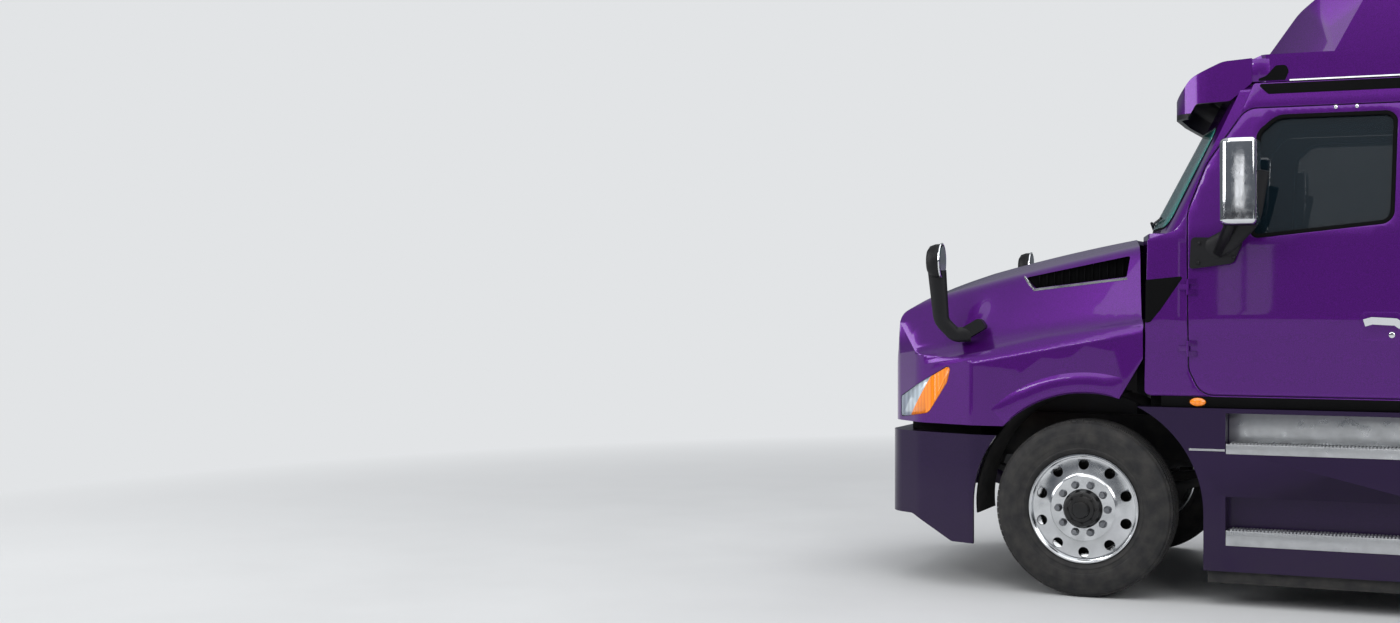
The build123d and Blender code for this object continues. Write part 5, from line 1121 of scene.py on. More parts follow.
class TRACTOR_OT_hood(bpy.types.Operator):
    """Hood shell with arch flares, vents, grille, lamps and hood mirrors"""
    bl_idname = "tractor.hood"
    bl_label = "Hood"

    def execute(self, context):
        cuts = []
        for (y0, z0), (y1, z1) in zip(CREASE[:2], CREASE[1:3]):
            normal = Vector((0.0, z0 - z1, y1 - y0)).normalized()
            for step in (-2.0, -1.2, -0.6, 0.0, 0.6, 1.2, 2.0):
                cuts.append((Vector((0.0, y0 + AXLE_Y, z0)) + normal * step * CREASE_HALF, normal))

        def press(place, normal):
            y = place.y - AXLE_Y
            if normal.x * place.x < 0.0 or abs(place.x) < 0.8:
                return 0.0
            line = np.interp(y, [c[0] for c in CREASE], [c[1] for c in CREASE])
            fade = min(1.0, max(0.0, (y + 1.0) / 0.15))
            return fade * CREASE_RISE * float(np.exp(-((place.z - line) / CREASE_HALF) ** 2))
        hood = dressed("hood_shell", "hood", ["paint", "gap"], "hood", walled,
                       fold=26, split=cuts, press=press)
        side = surface_x(hood)

        # Flare: a raised lip round the arch that runs out into the fender
        rows = []
        for share in np.linspace(0, 1, 46):
            angle = radians(45.5 + 61 * share)
            fade = min(1.0, share / 0.25, (1 - share) / 0.12) ** 0.6
            out = side(ARCH_Y - (FLARE_R + 0.01) * cos(angle), TYRE_R + (FLARE_R + 0.01) * sin(angle))
            row = []
            for radius, rise in FLARE_PROFILE:
                y = ARCH_Y - radius * cos(angle)
                z = TYRE_R + radius * sin(angle)
                row.append((out + rise * FLARE_RISE * (fade if rise > 0 else 1.0), y + AXLE_Y, z))
            rows.append(row)
        piece("arch_flares", loft(rows).both(), "paint", "hood", smooth=60)

        # Vent: black liner with a bright lower trim
        liner = prism_x(inset(rounded(VENT_OUTLINE), -0.012), 0.80, 0.865)
        for step in np.linspace(0.12, 0.92, 12):
            y = -0.40 + step * 0.62
            low, high = 1.80 + 0.065 * step, 1.865 + 0.12 * step
            liner.join(brick(0.865, 0.885, y - 0.004 + AXLE_Y, y + 0.004 + AXLE_Y, low, high, 0.001))
        piece("vent_liners", liner.both(), "gap", "hood")
        path = [(side(y, z) + 0.001, y + AXLE_Y, z) for y, z in spaced(np.array(VENT_TRIM), 0.04, False)]
        trim = swept(path, [(0.004, 0.007), (-0.004, 0.007), (-0.004, -0.007), (0.004, -0.007)])
        piece("vent_trims", trim.both(), "aluminium", "hood")

        split_y, split_z = LAMP_SPLIT
        dressed("headlight_lenses", "headlights", ["clear_lens", "amber", "trim"], "hood",
                lambda spot: 2 if spot.walled else int(spot.y > split_y + (spot.z - split_z) * LAMP_LEAN),
                split=[((0, split_y + AXLE_Y, split_z), (0, 0.80, -0.52))], fold=40)
        low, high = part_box("grille")
        screen = grown(mesh_screen(), {"Width": high.x - low.x - 0.05, "Height": high.z - low.z - 0.07,
                                       "Columns": 42, "Rows": 23, "Taper": 0.16})
        shape = Shape().join(screen, moved(0, high.y + 0.012, (low.z + high.z) / 2))
        piece("grille_screen", shape, "trim", "hood", weld=False)
        dressed("grille_bars", "grille", ["chrome", "trim"], "hood",
                lambda spot: 1 if spot.normal.y > 0.3 else 0, edge=0.004)

        # Hood mirrors: oval head with a bright rim on a broad stalk that sweeps up from its foot
        middle = np.array(HOOD_MIRROR_PLACE) + (0, AXLE_Y, 0)

        def ring(y, size):
            return [middle + (x * size, y, z * size) for x, z in oval(0.072, 0.103, 40)]
        head = loft([ring(y, size) for y, size in HOOD_MIRROR_SHELL], closed=True, caps=True, flip=True)
        rim = swept(ring(0.040, 1.0), oval(0.006, 0.006, 8), closed=True, up=(0, 1, 0))
        glass = loft([ring(0.046, size) for size in (0.01, 0.87)], closed=True)
        head.join(stalk(HOOD_MIRROR_STALK, 0.03, 0.040, 0.4, (1.15, 1.1, 1.45)))
        head.join(prism_x(rounded(HOOD_MIRROR_FOOT), 1.035, 1.092))
        piece("hood_mirror_cases", head.both(), "trim", "hood", replaces=["hood_mirrors"])
        piece("hood_mirror_rims", rim.both(), "chrome", "hood")
        piece("hood_mirror_glass", glass.both(), "mirror", "hood")
        return {"FINISHED"}


FOG_LAMP_X = 0.71
FOG_LAMP_Z = 0.56
BUMPER_CAST_Z = 0.70
# Plan of the near-black slab under the hood, which is painted shade of the dark space there
UNDER_HOOD_SHADE_PLAN = ((1.060, -0.640), (1.050, -0.800), (0.930, -1.040), (0.780, -1.150), (0.300, -1.185))


class TRACTOR_OT_front(bpy.types.Operator):
    """Bumper with its fog lamps, the dark backs of its openings and a near-black slab of painted shade under
    the hood
    """
    bl_idname = "tractor.front"
    bl_label = "Bumper"

    def execute(self, context):
        bumper = dressed("bumper_shell", "bumper", ["lower_paint", "gap"], "tractor", walled,
                         fold=28)
        tree = BVHTree.FromObject(bumper, context.evaluated_depsgraph_get())

        def face_y(x):
            return tree.ray_cast(Vector((x, -3.0 + AXLE_Y, BUMPER_CAST_Z)), Vector((0, 1, 0)), 4.0)[0].y
        lamp = knob([(-0.012, 0.0), (-0.008, 0.030), (0.004, 0.046), (0.02, 0.050)], "Y", 32)
        case = knob([(0.012, 0.052), (-0.004, 0.058), (0.012, 0.064), (0.060, 0.064), (0.060, 0.0)], "Y", 32)
        lamps, cases = Shape(), Shape()
        for x in (-FOG_LAMP_X, FOG_LAMP_X):
            place = moved(x, face_y(x) + 0.010, FOG_LAMP_Z)
            lamps.join(lamp, place)
            cases.join(case, place)
            back = face_y(x) + 0.06
            cases.join(brick(x - 0.105, x + 0.105, back, back + 0.01, 0.47, 0.65))
        cases.join(brick(-0.52, 0.52, face_y(0.3) + 0.03, -1.20 + AXLE_Y, 0.44, 0.64))
        # A near-black slab across the underside of the hood: painted shade of the dark space under it
        plan = np.array([*UNDER_HOOD_SHADE_PLAN, *[(-x, y) for x, y in reversed(UNDER_HOOD_SHADE_PLAN)]])
        rows = [np.column_stack([plan[:, 0], plan[:, 1] + AXLE_Y, np.full(len(plan), z)])
                for z in (0.880, 0.975)]
        cases.join(loft(rows, closed=True, caps=True, flip=True))
        piece("fog_lamps", lamps, "clear_lens", "tractor")
        piece("fog_cases_and_shade", cases, "gap", "tractor")
        return {"FINISHED"}


UPPER_STEP_Z = 0.915
LOWER_STEP_Z = 0.430
STEP_Y = (0.800, 1.900)
FAIRING_TOP_Z = 1.115
FAIRING_REAR_Y = 4.450
KICK_X = 1.068
STEP_DEPTH = 0.112


class TRACTOR_OT_steps(bpy.types.Operator):
    """Chassis fairings, belt strip, kick plates, step treads and skirts"""
    bl_idname = "tractor.steps"
    bl_label = "Fairings and Steps"

    def execute(self, context):
        for side, word in SIDES:
            dressed(f"fairing_shell_{word}", f"fairing_{word}", ["lower_paint", "gap"], "tractor",
                    lambda spot: int(spot.normal.x * side < -0.5), fold=30)
        y0, y1 = (y + AXLE_Y for y in STEP_Y)
        belt = brick(1.120, 1.168, 0.44 + AXLE_Y, FAIRING_REAR_Y - 0.05 + AXLE_Y,
                     FAIRING_TOP_Z + 0.001, FLOOR_Z - 0.001, 0.006)
        skirt = brick(1.150, 1.162, 0.70 + AXLE_Y, FAIRING_REAR_Y - 0.12 + AXLE_Y, 0.130, 0.215, 0.003)
        belt.join(brick(1.045, 1.100, 0.370 + AXLE_Y, 0.640 + AXLE_Y, 1.060, FLOOR_Z - 0.001, 0.006))
        piece("belt_strips", belt.both(), "gap", "tractor")
        piece("skirts", skirt.both(), "flap", "tractor")
        kick = brick(KICK_X, KICK_X + 0.005, y0 + 0.004, y1 - 0.004, UPPER_STEP_Z + 0.004, 1.085, 0.002)
        piece("kick_plates", kick.both(), "brushed", "tractor")

        teeth = slot_rows()
        treads = Shape()
        rows = grown(teeth, {"Depth": STEP_DEPTH - 0.02, "Length": y1 - y0 - 0.06, "Rows": 5, "Columns": 56,
                             "Tooth": (0.014, 0.009, 0.010)})
        nose = grown(teeth, {"Depth": 0.0, "Length": y1 - y0 - 0.03, "Rows": 1, "Columns": 90,
                             "Tooth": (0.004, 0.006, 0.020)})
        for z, face in ((UPPER_STEP_Z, 0.055), (LOWER_STEP_Z, 0.085)):
            treads.join(brick(KICK_X + 0.002, 1.1885, y0 + 0.002, y1 - 0.002, z - 0.029, z + 0.001, 0.003))
            treads.join(rows, moved(KICK_X + STEP_DEPTH / 2 + 0.003, (y0 + y1) / 2, z + 0.003))
            treads.join(nose, moved(1.1935, (y0 + y1) / 2, z - 0.013))
            treads.join(brick(1.184, 1.1925, y0 + 0.002, y1 - 0.002, z - face, z + 0.001, 0.003))
        treads.join(brick(1.188, 1.1915, 0.600 + AXLE_Y, y0 - 0.004, 0.874, 0.886, 0.001))
        piece("tread_grips", treads.both(), "tread_plate", "tractor",
              replaces=["step_treads"])

        marker = knob([(0.0, 0.030), (0.010, 0.028), (0.018, 0.016), (0.020, 0.0)])
        lamps = Shape().join(marker, moved(1.168, 0.645 + AXLE_Y, 1.148) @ Matrix.Diagonal((1, 1.5, 0.8, 1)))
        piece("side_markers", lamps.both(), "amber", "tractor")
        return {"FINISHED"}


# Wheels and tyres. Each is drawn about the X axis with its outer side towards +X.
RIM_R = 0.308
FLANGE_R = 0.321
HALF_RIM = 0.105
HUB_R = 0.118
HUB_CAP_R = 0.048
STUD_CIRCLE_R = 0.1429
HAND_HOLE_R = 0.031
HAND_HOLE_CIRCLE_R = 0.256
TYRE_HALF = 0.1415
STEER_DISC_X = 0.118
STEER_DISH = 0.030
STEER_HUB = 0.080
DRIVE_DISC_X = -0.150
DRIVE_DISH = 0.060
DRIVE_HUB = 0.210
DISC_WALL = 0.015
DUAL_SPACING = 0.337
STEER_TYRE_X = 1.0685
DUAL_OUTER_X = 1.078
HOLES = 10
HUB_BOLTS = 8
RIBS = ((-0.094, 0.034), (-0.047, 0.032), (0.0, 0.032), (0.047, 0.032), (0.094, 0.034))
# Tread blocks round a tyre, and the share of its pitch that each one fills
DRIVE_BLOCKS = (60, 0.80)
STEER_BLOCKS = (90, 0.93)
BLOCK_SLANT = 0.12


RIM_EDGE = ((0.060, 0.267), (0.076, 0.296), (0.108, 0.299), (0.116, 0.303), (0.119, 0.309), (0.118, 0.317),
            (0.113, FLANGE_R), (0.107, FLANGE_R), (HALF_RIM, RIM_R), (0.070, RIM_R - 0.001), (0.056, 0.277))


def wheel_disc(disc_x, out, depth):
    """Forged disc that falls back by depth to the rim, and the drop-centre rim round it."""
    dish = disc_x - out * depth
    face = [(disc_x, 0.100), (disc_x, 0.186), (disc_x - out * 0.006, 0.194), (disc_x - out * 0.010, 0.206),
            (dish + out * 0.001, 0.286), (dish + out * 0.003, 0.297)]
    back = [(x - out * DISC_WALL, r) for x, r in reversed(face)]
    disc = turned([*face, *back], "X", 96)
    barrel = [*RIM_EDGE, *[(-x, r) for x, r in reversed(RIM_EDGE)]]
    return disc, turned(barrel, "X", 96)


def hand_holes(x0, x1, face_x):
    """Cutters for the round holes, with a small chamfer at the face."""
    profile = [(x0, 0.0), (x0, HAND_HOLE_R), (face_x, HAND_HOLE_R), (x1, HAND_HOLE_R + 0.004), (x1, 0.0)]
    tool = knob(profile, "X", 28)
    cutters = Shape()
    for k in range(HOLES):
        angle = 2 * pi * (k + 0.5) / HOLES
        cutters.join(tool, moved(0, HAND_HOLE_CIRCLE_R * cos(angle), HAND_HOLE_CIRCLE_R * sin(angle)))
    return cutters


def hub_shape(face_x, out_length):
    """Hub that stands out of the disc, with its cap and flange bolts."""
    end = face_x + out_length
    neck = [(face_x + out_length * share, radius) for share, radius in (
        (0.50, HUB_R - 0.018), (0.55, HUB_R - 0.024), (0.57, HUB_CAP_R + 0.030), (0.66, HUB_CAP_R + 0.024),
        (0.70, HUB_CAP_R + 0.004))]
    profile = [(face_x - 0.02, 0.0), (face_x - 0.02, HUB_R - 0.004), (face_x + 0.004, HUB_R - 0.004),
               (face_x + 0.008, HUB_R - 0.008), *neck,
               (end - 0.008, HUB_CAP_R), (end - 0.002, HUB_CAP_R - 0.005), (end, HUB_CAP_R - 0.014),
               (end, 0.0)]
    shape = knob(profile, "X", 64)
    bolt = knob([(0.0, 0.008), (0.008, 0.008), (0.010, 0.006), (0.010, 0.0)], "X", 6)
    for y, z in oval(HUB_R - 0.032, HUB_R - 0.032, HUB_BOLTS):
        shape.join(bolt, moved(neck[1][0], y, z))
    return shape


def tyre_shape(driven):
    """Tyre with round shoulders, sidewall rings and tread blocks cut by grooves."""
    half = TYRE_HALF
    sizes = bpy.context.scene.tractor_sizes
    crown = TYRE_R - sizes.tread_depth
    side = [(half - 0.050, crown), (half - 0.030, crown - 0.001), (half - 0.018, crown - 0.010),
            (half - 0.010, crown - 0.030), (half - 0.008, crown - 0.034), (half - 0.004, TYRE_R - 0.072),
            (half - 0.0015, TYRE_R - 0.080), (half - 0.0012, TYRE_R - 0.100), (half, TYRE_R - 0.118),
            (half - 0.002, 0.382), (half - 0.0045, 0.378), (half - 0.005, 0.372), (half - 0.010, 0.352),
            (half - 0.007, 0.348), (half - 0.009, 0.342), (half - 0.018, 0.332),
            (half - 0.026, FLANGE_R + 0.004), (HALF_RIM + 0.003, FLANGE_R + 0.001),
            (HALF_RIM + 0.0005, 0.3125), (HALF_RIM - 0.004, RIM_R)]
    line = rounded([(x, r, 0.004) for x, r in side], closed=False, steps=2)
    mirror_line = line[::-1] * [-1, 1]
    carcass = knob(np.vstack([mirror_line, line]), "X", 120)
    count, filled = DRIVE_BLOCKS if driven else STEER_BLOCKS
    arc = 2 * pi / count * filled
    walls = [[base + i, base + (i + 1) % 4, base + 4 + (i + 1) % 4, base + 4 + i]
             for base in (0, 4) for i in range(4)]
    for number, (middle, wide) in enumerate(RIBS):
        shift = (number % 2) * 0.5
        slant = BLOCK_SLANT / TYRE_R * (1 if number % 2 else -1)
        top = TYRE_R - (0.004 if abs(middle) > 0.09 else 0.0)
        for k in range(count):
            angle = 2 * pi * (k + shift) / count
            block = []
            for radius, shrink in ((crown - 0.004, 0.0), (top - 0.0015, 0.0), (top, 0.0015)):
                for a, x in ((-0.5, -0.5), (0.5, -0.5), (0.5, 0.5), (-0.5, 0.5)):
                    away = x * (wide - 2 * shrink)
                    turn = angle + a * (arc - 2 * shrink / TYRE_R) + away * slant
                    block.append((middle + away, radius * cos(turn), radius * sin(turn)))
            carcass.add(block, [[8, 9, 10, 11], *walls])
    return carcass


class TRACTOR_OT_wheels(bpy.types.Operator):
    """Wheels, hubs, nuts and tyres"""
    bl_idname = "tractor.wheels"
    bl_label = "Wheels and Tyres"

    def execute(self, context):
        sizes = context.scene.tractor_sizes
        nuts = grown(nut_ring(), {"Circle Radius": STUD_CIRCLE_R, "Across Flats": sizes.nut, "Height": 0.030,
                                  "Count": HOLES})
        nuts = Shape().join(nuts, Matrix.Rotation(pi / HOLES, 4, "X"))
        front = self.wheel(STEER_DISC_X, 1, STEER_DISH)
        outer = self.wheel(DRIVE_DISC_X, -1, DRIVE_DISH)
        inner = self.wheel(DUAL_SPACING + DRIVE_DISC_X - DISC_WALL - 0.001, 1, DRIVE_DISH)
        tyres = {False: tyre_shape(False), True: tyre_shape(True)}
        for word, x in (("front", STEER_TYRE_X), ("drive_fore", DUAL_OUTER_X), ("drive_aft", DUAL_OUTER_X)):
            driven = word != "front"
            face = DRIVE_DISC_X if driven else STEER_DISC_X
            hub = hub_shape(face, DRIVE_HUB if driven else STEER_HUB)
            # A near-black ring behind the disc, across the hand holes, so that they show dark: painted shade
            ring = turned([(-0.030, 0.208), (-0.030, 0.2655), (-0.034, 0.2655), (-0.034, 0.208)], "X", 64)
            hub.join(ring, moved(-0.155 if driven else 0.0, 0, 0))
            for side, hand in SIDES:
                which = f"{word}_{hand}"
                body = f"wheel_{which}"
                low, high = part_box(f"tyre_{which}")
                place = Matrix.Diagonal((side, 1, 1, 1)) @ moved(x, (low.y + high.y) / 2, TYRE_R)
                metal = Shape().join(outer if driven else front, place)
                rubber = Shape().join(tyres[driven], place)
                if driven:
                    twin = place @ moved(-DUAL_SPACING, 0, 0)
                    metal.join(inner, twin)
                    rubber.join(tyres[driven], twin)
                piece(f"disc_{which}", metal, ["aluminium", "gap"], body, smooth=28,
                      replaces=[body])
                piece(f"hub_{which}", Shape().join(hub, place), "hub", body, smooth=30)
                piece(f"nuts_{which}", Shape().join(nuts, place @ moved(face, 0, 0)), "nut", body,
                      smooth=30)
                piece(f"rubber_{which}", rubber, "rubber", body, smooth=38,
                      replaces=[f"tyre_{which}"])
        return {"FINISHED"}

    @staticmethod
    def wheel(disc_x, out, depth):
        """One wheel's disc and rim, its disc bored, the bores near-black as painted shade."""
        disc, barrel = wheel_disc(disc_x, out, depth)
        obj = placed("disc", mesh_of("disc", disc))
        low, high = sorted((disc_x - out * (depth + 0.03), disc_x + out * 0.01))
        cut(obj, hand_holes(low, high, disc_x - out * depth * 0.62))
        # The bores of the hand holes take the near-black finish, not aluminium: painted shade inside the
        # holes
        shape = shape_of(obj.data)
        for number, face in enumerate(obj.data.polygons):
            angle = round((np.arctan2(face.center.z, face.center.y) * HOLES / (2 * pi)) - 0.5) + 0.5
            turn = 2 * pi * angle / HOLES
            hole = Vector((cos(turn), sin(turn))) * HAND_HOLE_CIRCLE_R
            spot = Vector((face.center.y, face.center.z)) - hole
            if spot.length < HAND_HOLE_R + 0.0046 and abs(face.normal.x) < 0.75:
                shape.numbers[number] = 1
        bpy.data.objects.remove(obj)
        return shape.join(barrel)


MIRROR_HEAD_X = 1.292              # the head starts further out and higher than its arm
MIRROR_HEAD_Z = 2.138
MIRROR_ARM = ((1.175, 0.700, 2.000, 0), (1.230, 0.820, 2.060, 0.10), (1.300, 0.950, 2.180, 0.14),
              (1.330, 1.006, 2.440, 0))
MIRROR_BOLTS = ((0.655, 2.045), (0.650, 1.935), (0.845, 1.965))


class TRACTOR_OT_mirrors(bpy.types.Operator):
    """Door mirrors"""
    bl_idname = "tractor.mirrors"
    bl_label = "Mirrors"

    def execute(self, context):
        def look(spot):
            if spot.x < MIRROR_HEAD_X or spot.z < MIRROR_HEAD_Z:
                return 1
            return 2 if spot.normal.y > 0.85 else 0
        arm = stalk(MIRROR_ARM, 0.04, 0.060, 0.5, (1.1, 1.0, 0.75))
        bolt = knob([(-0.004, 0.0), (-0.004, 0.011), (0.005, 0.011), (0.008, 0.006), (0.008, 0.0)], "X", 12)
        for y, z in MIRROR_BOLTS:
            arm.join(bolt, moved(1.195, y + AXLE_Y, z))
        for side, word in SIDES:
            dressed(f"mirror_head_{word}", f"mirror_{word}", ["chrome", "trim", "mirror"], f"door_{word}",
                    look, fold=30)
            piece(f"mirror_arm_{word}", arm.sided(side), "trim", f"door_{word}", smooth=60)
        return {"FINISHED"}


def cushion(low, high, crown=0.02):
    """A padded block between two corners: crowned faces, sides pulled in between its corners."""
    low, high = np.array(low), np.array(high)
    middle, half = (low + high) / 2, (high - low) / 2
    steps, pull = 10, 0.012
    grid = np.linspace(-1, 1, steps)
    shape = Shape()
    for axis in range(3):
        for sign in (-1, 1):
            u, v = np.meshgrid(grid, grid, indexing="ij")
            unit = np.zeros((steps * steps, 3))
            unit[:, axis] = sign
            unit[:, (axis + 1) % 3] = u.ravel()
            unit[:, (axis + 2) % 3] = v.ravel()
            soft = unit * (1 - 0.10 * (np.roll(unit, 1, 1) ** 6 + np.roll(unit, 2, 1) ** 6) / 2)
            bulge = (1 - np.roll(unit, 1, 1) ** 2) * (1 - np.roll(unit, 2, 1) ** 2)
            places = middle + soft * half + np.sign(unit) * bulge * crown * (np.abs(unit) == 1)
            places -= np.sign(unit) * (np.abs(unit) == 1) * pull * (1 - bulge) * 0.4
            shape.add(places, grid_faces(steps, steps), flip=sign < 0)
    return shape


class TRACTOR_OT_interior(bpy.types.Operator):
    """Seats, bunk, dash and steering wheel"""
    bl_idname = "tractor.interior"
    bl_label = "Interior"

    def execute(self, context):
        low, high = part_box("seats")
        middle = (high.x + low.x) / 2
        seat_y = low.y + 0.300
        floor = low.z
        away = high.x - 0.250
        pads, base = Shape(), Shape()
        for side in (-1, 1):
            x = middle + side * away
            low, high = (x - 0.25, seat_y - 0.30, floor + 0.26), (x + 0.25, seat_y + 0.24, floor + 0.39)
            pads.join(cushion(low, high))
            lean = moved(x, seat_y + 0.24, floor + 0.36) @ Matrix.Rotation(radians(-10), 4, "X")
            pads.join(cushion((-0.24, -0.06, 0.0), (0.24, 0.06, 0.66)), lean)
            pads.join(cushion((-0.14, -0.045, 0.68), (0.14, 0.045, 0.87), 0.014), lean)
            base.join(brick(x - 0.19, x + 0.19, seat_y - 0.20, seat_y + 0.18, floor, floor + 0.25, 0.02))
            for edge in (-1, 1):
                rest = x + edge * 0.27
                base.join(brick(rest - 0.025, rest + 0.025, seat_y - 0.08, seat_y + 0.24,
                                floor + 0.55, floor + 0.60, 0.015))
        seats = piece("seat_pads", pads, "cloth", "tractor", smooth=60, replaces=["seats"])
        piece("seat_bases", base, "trim", "tractor")
        low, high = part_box("bunk")
        block = cushion((low.x + 0.01, low.y, high.z - 0.18), (high.x - 0.01, high.y, high.z), 0.006)
        mattress = piece("bunk_mattress", block, "cloth", "tractor", smooth=60,
                         replaces=["bunk"])
        base = brick(low.x, high.x, low.y + 0.02, high.y, low.z, high.z - 0.185, 0.01)
        piece("bunk_base", base, "cab_trim", "tractor")
        dressed("dash", "dashboard", "dash", "tractor", edge=0.006)
        dressed("wheel_and_column", "steering_wheel", "dash", "tractor")
        return {"FINISHED"}


# Frame parts that keep their shape: node, finish, body, slot and the rounding of their edges
PLAIN_PARTS = (("frame", "chassis", "tractor", "chassis_black", 0.003),
               ("front_axle", "chassis", "tractor", "chassis_black", 0.004),
               ("front_springs", "chassis", "tractor", "chassis_black", 0.002),
               ("drive_axles", "chassis", "tractor", "chassis_black", 0.0),
               ("rear_suspension", "chassis", "tractor", "chassis_black", 0.004),
               ("fifth_wheel_base", "chassis", "tractor", "cast_plate", 0.0),
               ("engine", "casting", "tractor", "engine_grey", 0.01),
               ("radiator", "core", "tractor", "radiator_aluminium", 0.004),
               ("knuckle_left", "casting", "knuckle_left", "cast_steel", 0.0),
               ("knuckle_right", "casting", "knuckle_right", "cast_steel", 0.0),
               ("mud_flaps", "flap", "tractor", "black_rubber", 0.003),
               ("deck_plate", "tread_plate", "tractor", "tread_aluminium", 0.003),
               ("wheel_liners", "flap", "hood", "black_plastic", 0.0),
               ("side_extenders", "paint", "tractor", "body_paint", 0.006))
COUPLER_PIVOT_Z = 1.085
COUPLER_PIN_R = 0.028
COUPLER_EAR_X = 0.350


class TRACTOR_OT_chassis(bpy.types.Operator):
    """Frame, axles, suspension, tanks, coupler and rear end"""
    bl_idname = "tractor.chassis"
    bl_label = "Chassis"

    def execute(self, context):
        for node, key, body, slot, edge in PLAIN_PARTS:
            dressed(f"{node}_made", node, key, body, edge=edge)
        coupler = dressed("coupler_plate", "fifth_wheel", "grease", "fifth_wheel")
        low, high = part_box("fifth_wheel_base")
        for vert in coupler.data.vertices:
            arm = Vector((0.0, vert.co.y - (low.y + high.y) / 2, vert.co.z - COUPLER_PIVOT_Z))
            beyond = abs(vert.co.x) - COUPLER_EAR_X
            if beyond > -0.0005 and arm.length < COUPLER_PIN_R + 0.0005:
                vert.co -= arm.normalized() * 0.0012
            if abs(beyond) < 0.0005:
                vert.co.x -= copysign(0.0006, vert.co.x)
        dressed("tanks", "fuel_tanks", "aluminium", "tractor", fold=30)
        lamp_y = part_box("tail_lights")[1].y - AXLE_Y - 0.0155
        dressed("tail_lamp_bar", "tail_lights", ["chassis", "red"], "tractor",
                lambda spot: int(spot.y > lamp_y))
        rim = turned([(0.0, 0.062), (0.0, 0.052), (0.010, 0.052), (0.012, 0.056), (0.010, 0.060)], "Y", 32)
        rims = Shape()
        low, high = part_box("tail_lights")
        for x in (high.x - 0.060, high.x - 0.180):
            for side in (-1, 1):
                rims.join(rim, moved(side * x, high.y - 0.016, (low.z + high.z) / 2 - 0.005))
        piece("tail_lamp_rims", rims, "trim", "tractor")

        guards = Shape()
        for low, high in ((12, 104), (128, 186)):
            for radius in (0.672, 0.680):
                angles = np.radians(np.linspace(low, high, 40))
                row = [(radius * cos(angle), radius * sin(angle)) for angle in angles]
                guards.add([(x, ARCH_Y + AXLE_Y + c, TYRE_R + s) for x in (0.64, 1.05) for c, s in row],
                           grid_faces(2, len(row)), flip=radius > 0.675)
        piece("splash_guards", guards.both(), "flap", "tractor")
        return {"FINISHED"}


# Camera as the photograph was taken, worked out from the front wheel
CAMERA_PLACE = (11.52, -0.749, 1.725)
CAMERA_TURN = radians(24.0)       # off square to the truck's side, towards its front
CAMERA_LENS = 45.8
HORIZON_Y = 300.0                 # pixel row of the horizon in a picture 623 pixels high
PICTURE = (1400.0, 623.0)
SENSOR = 36.0
FLOOR = "#DADBDB"
BACKDROP = "#E2E4E6"
# Lamps: name, place, size, power and what they point at
LAMPS = (("overhead", (3.0, -1.5, 8.0), (7.0, 11.0), 360.0, (0.0, -1.0, 1.0)),
         ("side", (11.0, 4.5, 5.5), (5.0, 3.5), 260.0, (0.0, -1.0, 1.5)),
         ("strip", (9.0, -7.5, 6.6), (4.4, 0.7), 95.0, (1.0, -2.6, 1.6)),
         ("card_fore", (11.6, -3.47, 3.0), (0.26, 1.5), 1.2, (1.5, -2.0, 2.4)),
         ("card_aft", (11.6, -3.15, 3.0), (0.28, 1.5), 1.3, (1.5, -2.0, 2.4)),
         ("front", (4.0, -12.0, 4.5), (5.0, 4.0), 260.0, (0.0, -1.0, 1.5)),
         ("rear", (-6.0, 11.0, 5.0), (6.0, 4.0), 260.0, (0.0, 0.0, 1.5)),
         ("far_side", (-8.0, 1.0, 9.5), (6.0, 4.0), 260.0, (0.0, 0.0, 1.5)))


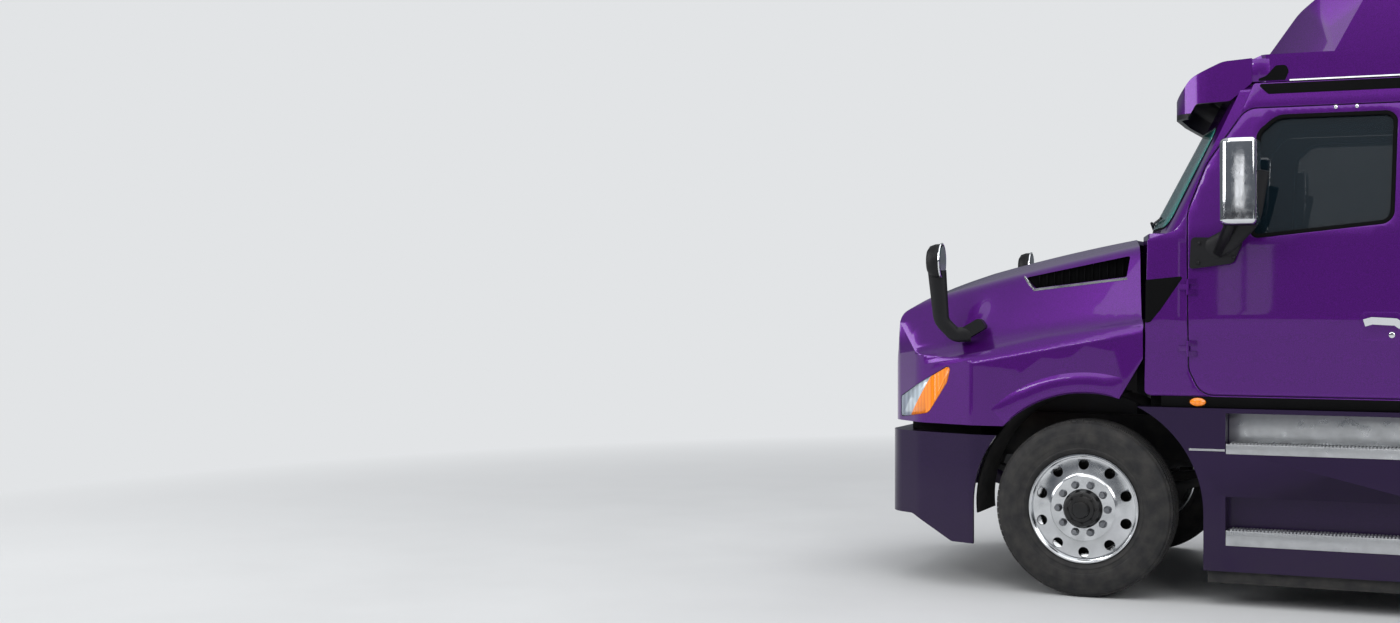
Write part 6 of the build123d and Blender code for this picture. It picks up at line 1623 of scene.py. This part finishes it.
class TRACTOR_OT_stage(bpy.types.Operator):
    """Floor, backdrop, studio lamps and the camera"""
    bl_idname = "tractor.stage"
    bl_label = "Stage"

    def execute(self, context):
        scene = context.scene
        scene.view_settings.view_transform = "Standard"
        camera_data = bpy.data.cameras.new("camera")
        camera_data.lens = CAMERA_LENS
        camera_data.sensor_width = SENSOR
        camera = bpy.data.objects.new("camera", camera_data)
        focal = CAMERA_LENS / SENSOR * PICTURE[0]
        pitch = atan((HORIZON_Y - PICTURE[1] / 2) / focal)
        aim = Vector((-cos(CAMERA_TURN) * cos(pitch), -sin(CAMERA_TURN) * cos(pitch), sin(pitch)))
        camera.location = CAMERA_PLACE
        camera.rotation_euler = aim.to_track_quat("-Z", "Y").to_euler()
        scene.collection.objects.link(camera)
        scene.camera = camera

        # The floor runs out into the backdrop, so that no line shows where they meet
        floor_finish, tree, shader, spot = finish("Studio Floor", linear(FLOOR), {"Roughness": 0.7})
        patch = patches(tree, spot, 0.9, 4.0, 0.3, 0.7, 0.0, 1.0)
        shown = add(tree, "ShaderNodeMix", {0: patch, 6: linear(FLOOR), 7: linear("#DFE0E0")},
                    data_type="RGBA").outputs[2]
        put(shader, {"Base Color": shown})
        far = add(tree, "ShaderNodeVectorMath", (spot,), operation="LENGTH").outputs["Value"]
        fade = add(tree, "ShaderNodeMapRange", (far, 3.0, 13.0, 0.0, 1.0)).outputs[0]
        smooth = add(tree, "ShaderNodeMath", (fade, fade), operation="MULTIPLY").outputs[0]
        glow = add(tree, "ShaderNodeEmission", (linear(BACKDROP), 1.0)).outputs[0]
        whole = add(tree, "ShaderNodeMixShader", (smooth, shader.outputs[0], glow)).outputs[0]
        put(tree.nodes["Material Output"], {"Surface": whole})
        reach = 60.0
        corners = [(-reach, -reach, 0), (reach, -reach, 0), (reach, reach, 0), (-reach, reach, 0)]
        floor = placed("floor", mesh_of("floor", Shape().add(corners, [[0, 1, 2, 3]])))
        floor.data.materials.append(floor_finish)

        world = bpy.data.worlds.new("studio")
        scene.world = world
        world.use_nodes = True
        tree = world.node_tree
        tree.nodes.clear()
        paths = add(tree, "ShaderNodeLightPath")
        sky = add(tree, "ShaderNodeTexCoord").outputs["Generated"]
        rise = add(tree, "ShaderNodeSeparateXYZ", (sky,)).outputs["Z"]
        foot = add(tree, "ShaderNodeMapRange", (rise, -0.02, 0.03, 0.0, 1.0)).outputs[0]
        low = add(tree, "ShaderNodeMix", {0: foot, 6: linear("#4A4C50"), 7: linear("#7D828A")},
                  data_type="RGBA").outputs[2]
        dome = add(tree, "ShaderNodeMapRange", (rise, 0.12, 0.75, 0.0, 1.0)).outputs[0]
        light = add(tree, "ShaderNodeMix", {0: dome, 6: low, 7: linear("#F2F5FA")}, data_type="RGBA")
        room = add(tree, "ShaderNodeBackground", (light.outputs[2], 0.55)).outputs[0]
        backdrop = add(tree, "ShaderNodeBackground", (linear(BACKDROP), 1.0)).outputs[0]
        seen = add(tree, "ShaderNodeMixShader", (paths.outputs["Is Camera Ray"], room, backdrop)).outputs[0]
        add(tree, "ShaderNodeOutputWorld", {"Surface": seen})

        for name, place, size, power, target in LAMPS:
            data = bpy.data.lights.new(name, "AREA")
            data.shape = "RECTANGLE"
            data.size, data.size_y = size
            data.energy = power
            lamp = bpy.data.objects.new(name, data)
            lamp.location = place
            lamp.rotation_euler = (Vector(target) - Vector(place)).to_track_quat("-Z", "Y").to_euler()
            scene.collection.objects.link(lamp)
        return {"FINISHED"}


PIECES = (TRACTOR_OT_chassis, TRACTOR_OT_cab, TRACTOR_OT_doors, TRACTOR_OT_sleeper, TRACTOR_OT_glass,
          TRACTOR_OT_roof, TRACTOR_OT_hood, TRACTOR_OT_front, TRACTOR_OT_steps, TRACTOR_OT_wheels,
          TRACTOR_OT_mirrors, TRACTOR_OT_interior, TRACTOR_OT_stage)


class TRACTOR_PT_panel(bpy.types.Panel):
    """Lists the pieces in the sidebar"""
    bl_idname = "TRACTOR_PT_panel"
    bl_label = "Road Tractor"
    bl_space_type = "VIEW_3D"
    bl_region_type = "UI"
    bl_category = "Tractor"

    def draw(self, context):
        layout = self.layout
        for group in (context.scene.tractor_finish, context.scene.tractor_sizes):
            for name in group.bl_rna.properties.keys():
                if name not in ("rna_type", "name"):
                    layout.prop(group, name)
        for operator in PIECES:
            layout.operator(operator.bl_idname)


def register():
    for item in (TractorFinish, TractorSizes, *PIECES, TRACTOR_PT_panel):
        bpy.utils.register_class(item)
    bpy.types.Scene.tractor_finish = bpy.props.PointerProperty(type=TractorFinish)
    bpy.types.Scene.tractor_sizes = bpy.props.PointerProperty(type=TractorSizes)


def unregister():
    del bpy.types.Scene.tractor_sizes
    del bpy.types.Scene.tractor_finish
    for item in reversed((TractorFinish, TractorSizes, *PIECES, TRACTOR_PT_panel)):
        bpy.utils.unregister_class(item)


def main():
    register()
    for operator in PIECES:
        group, name = operator.bl_idname.split(".")
        getattr(getattr(bpy.ops, group), name)()


if __name__ == "__main__":
    main()
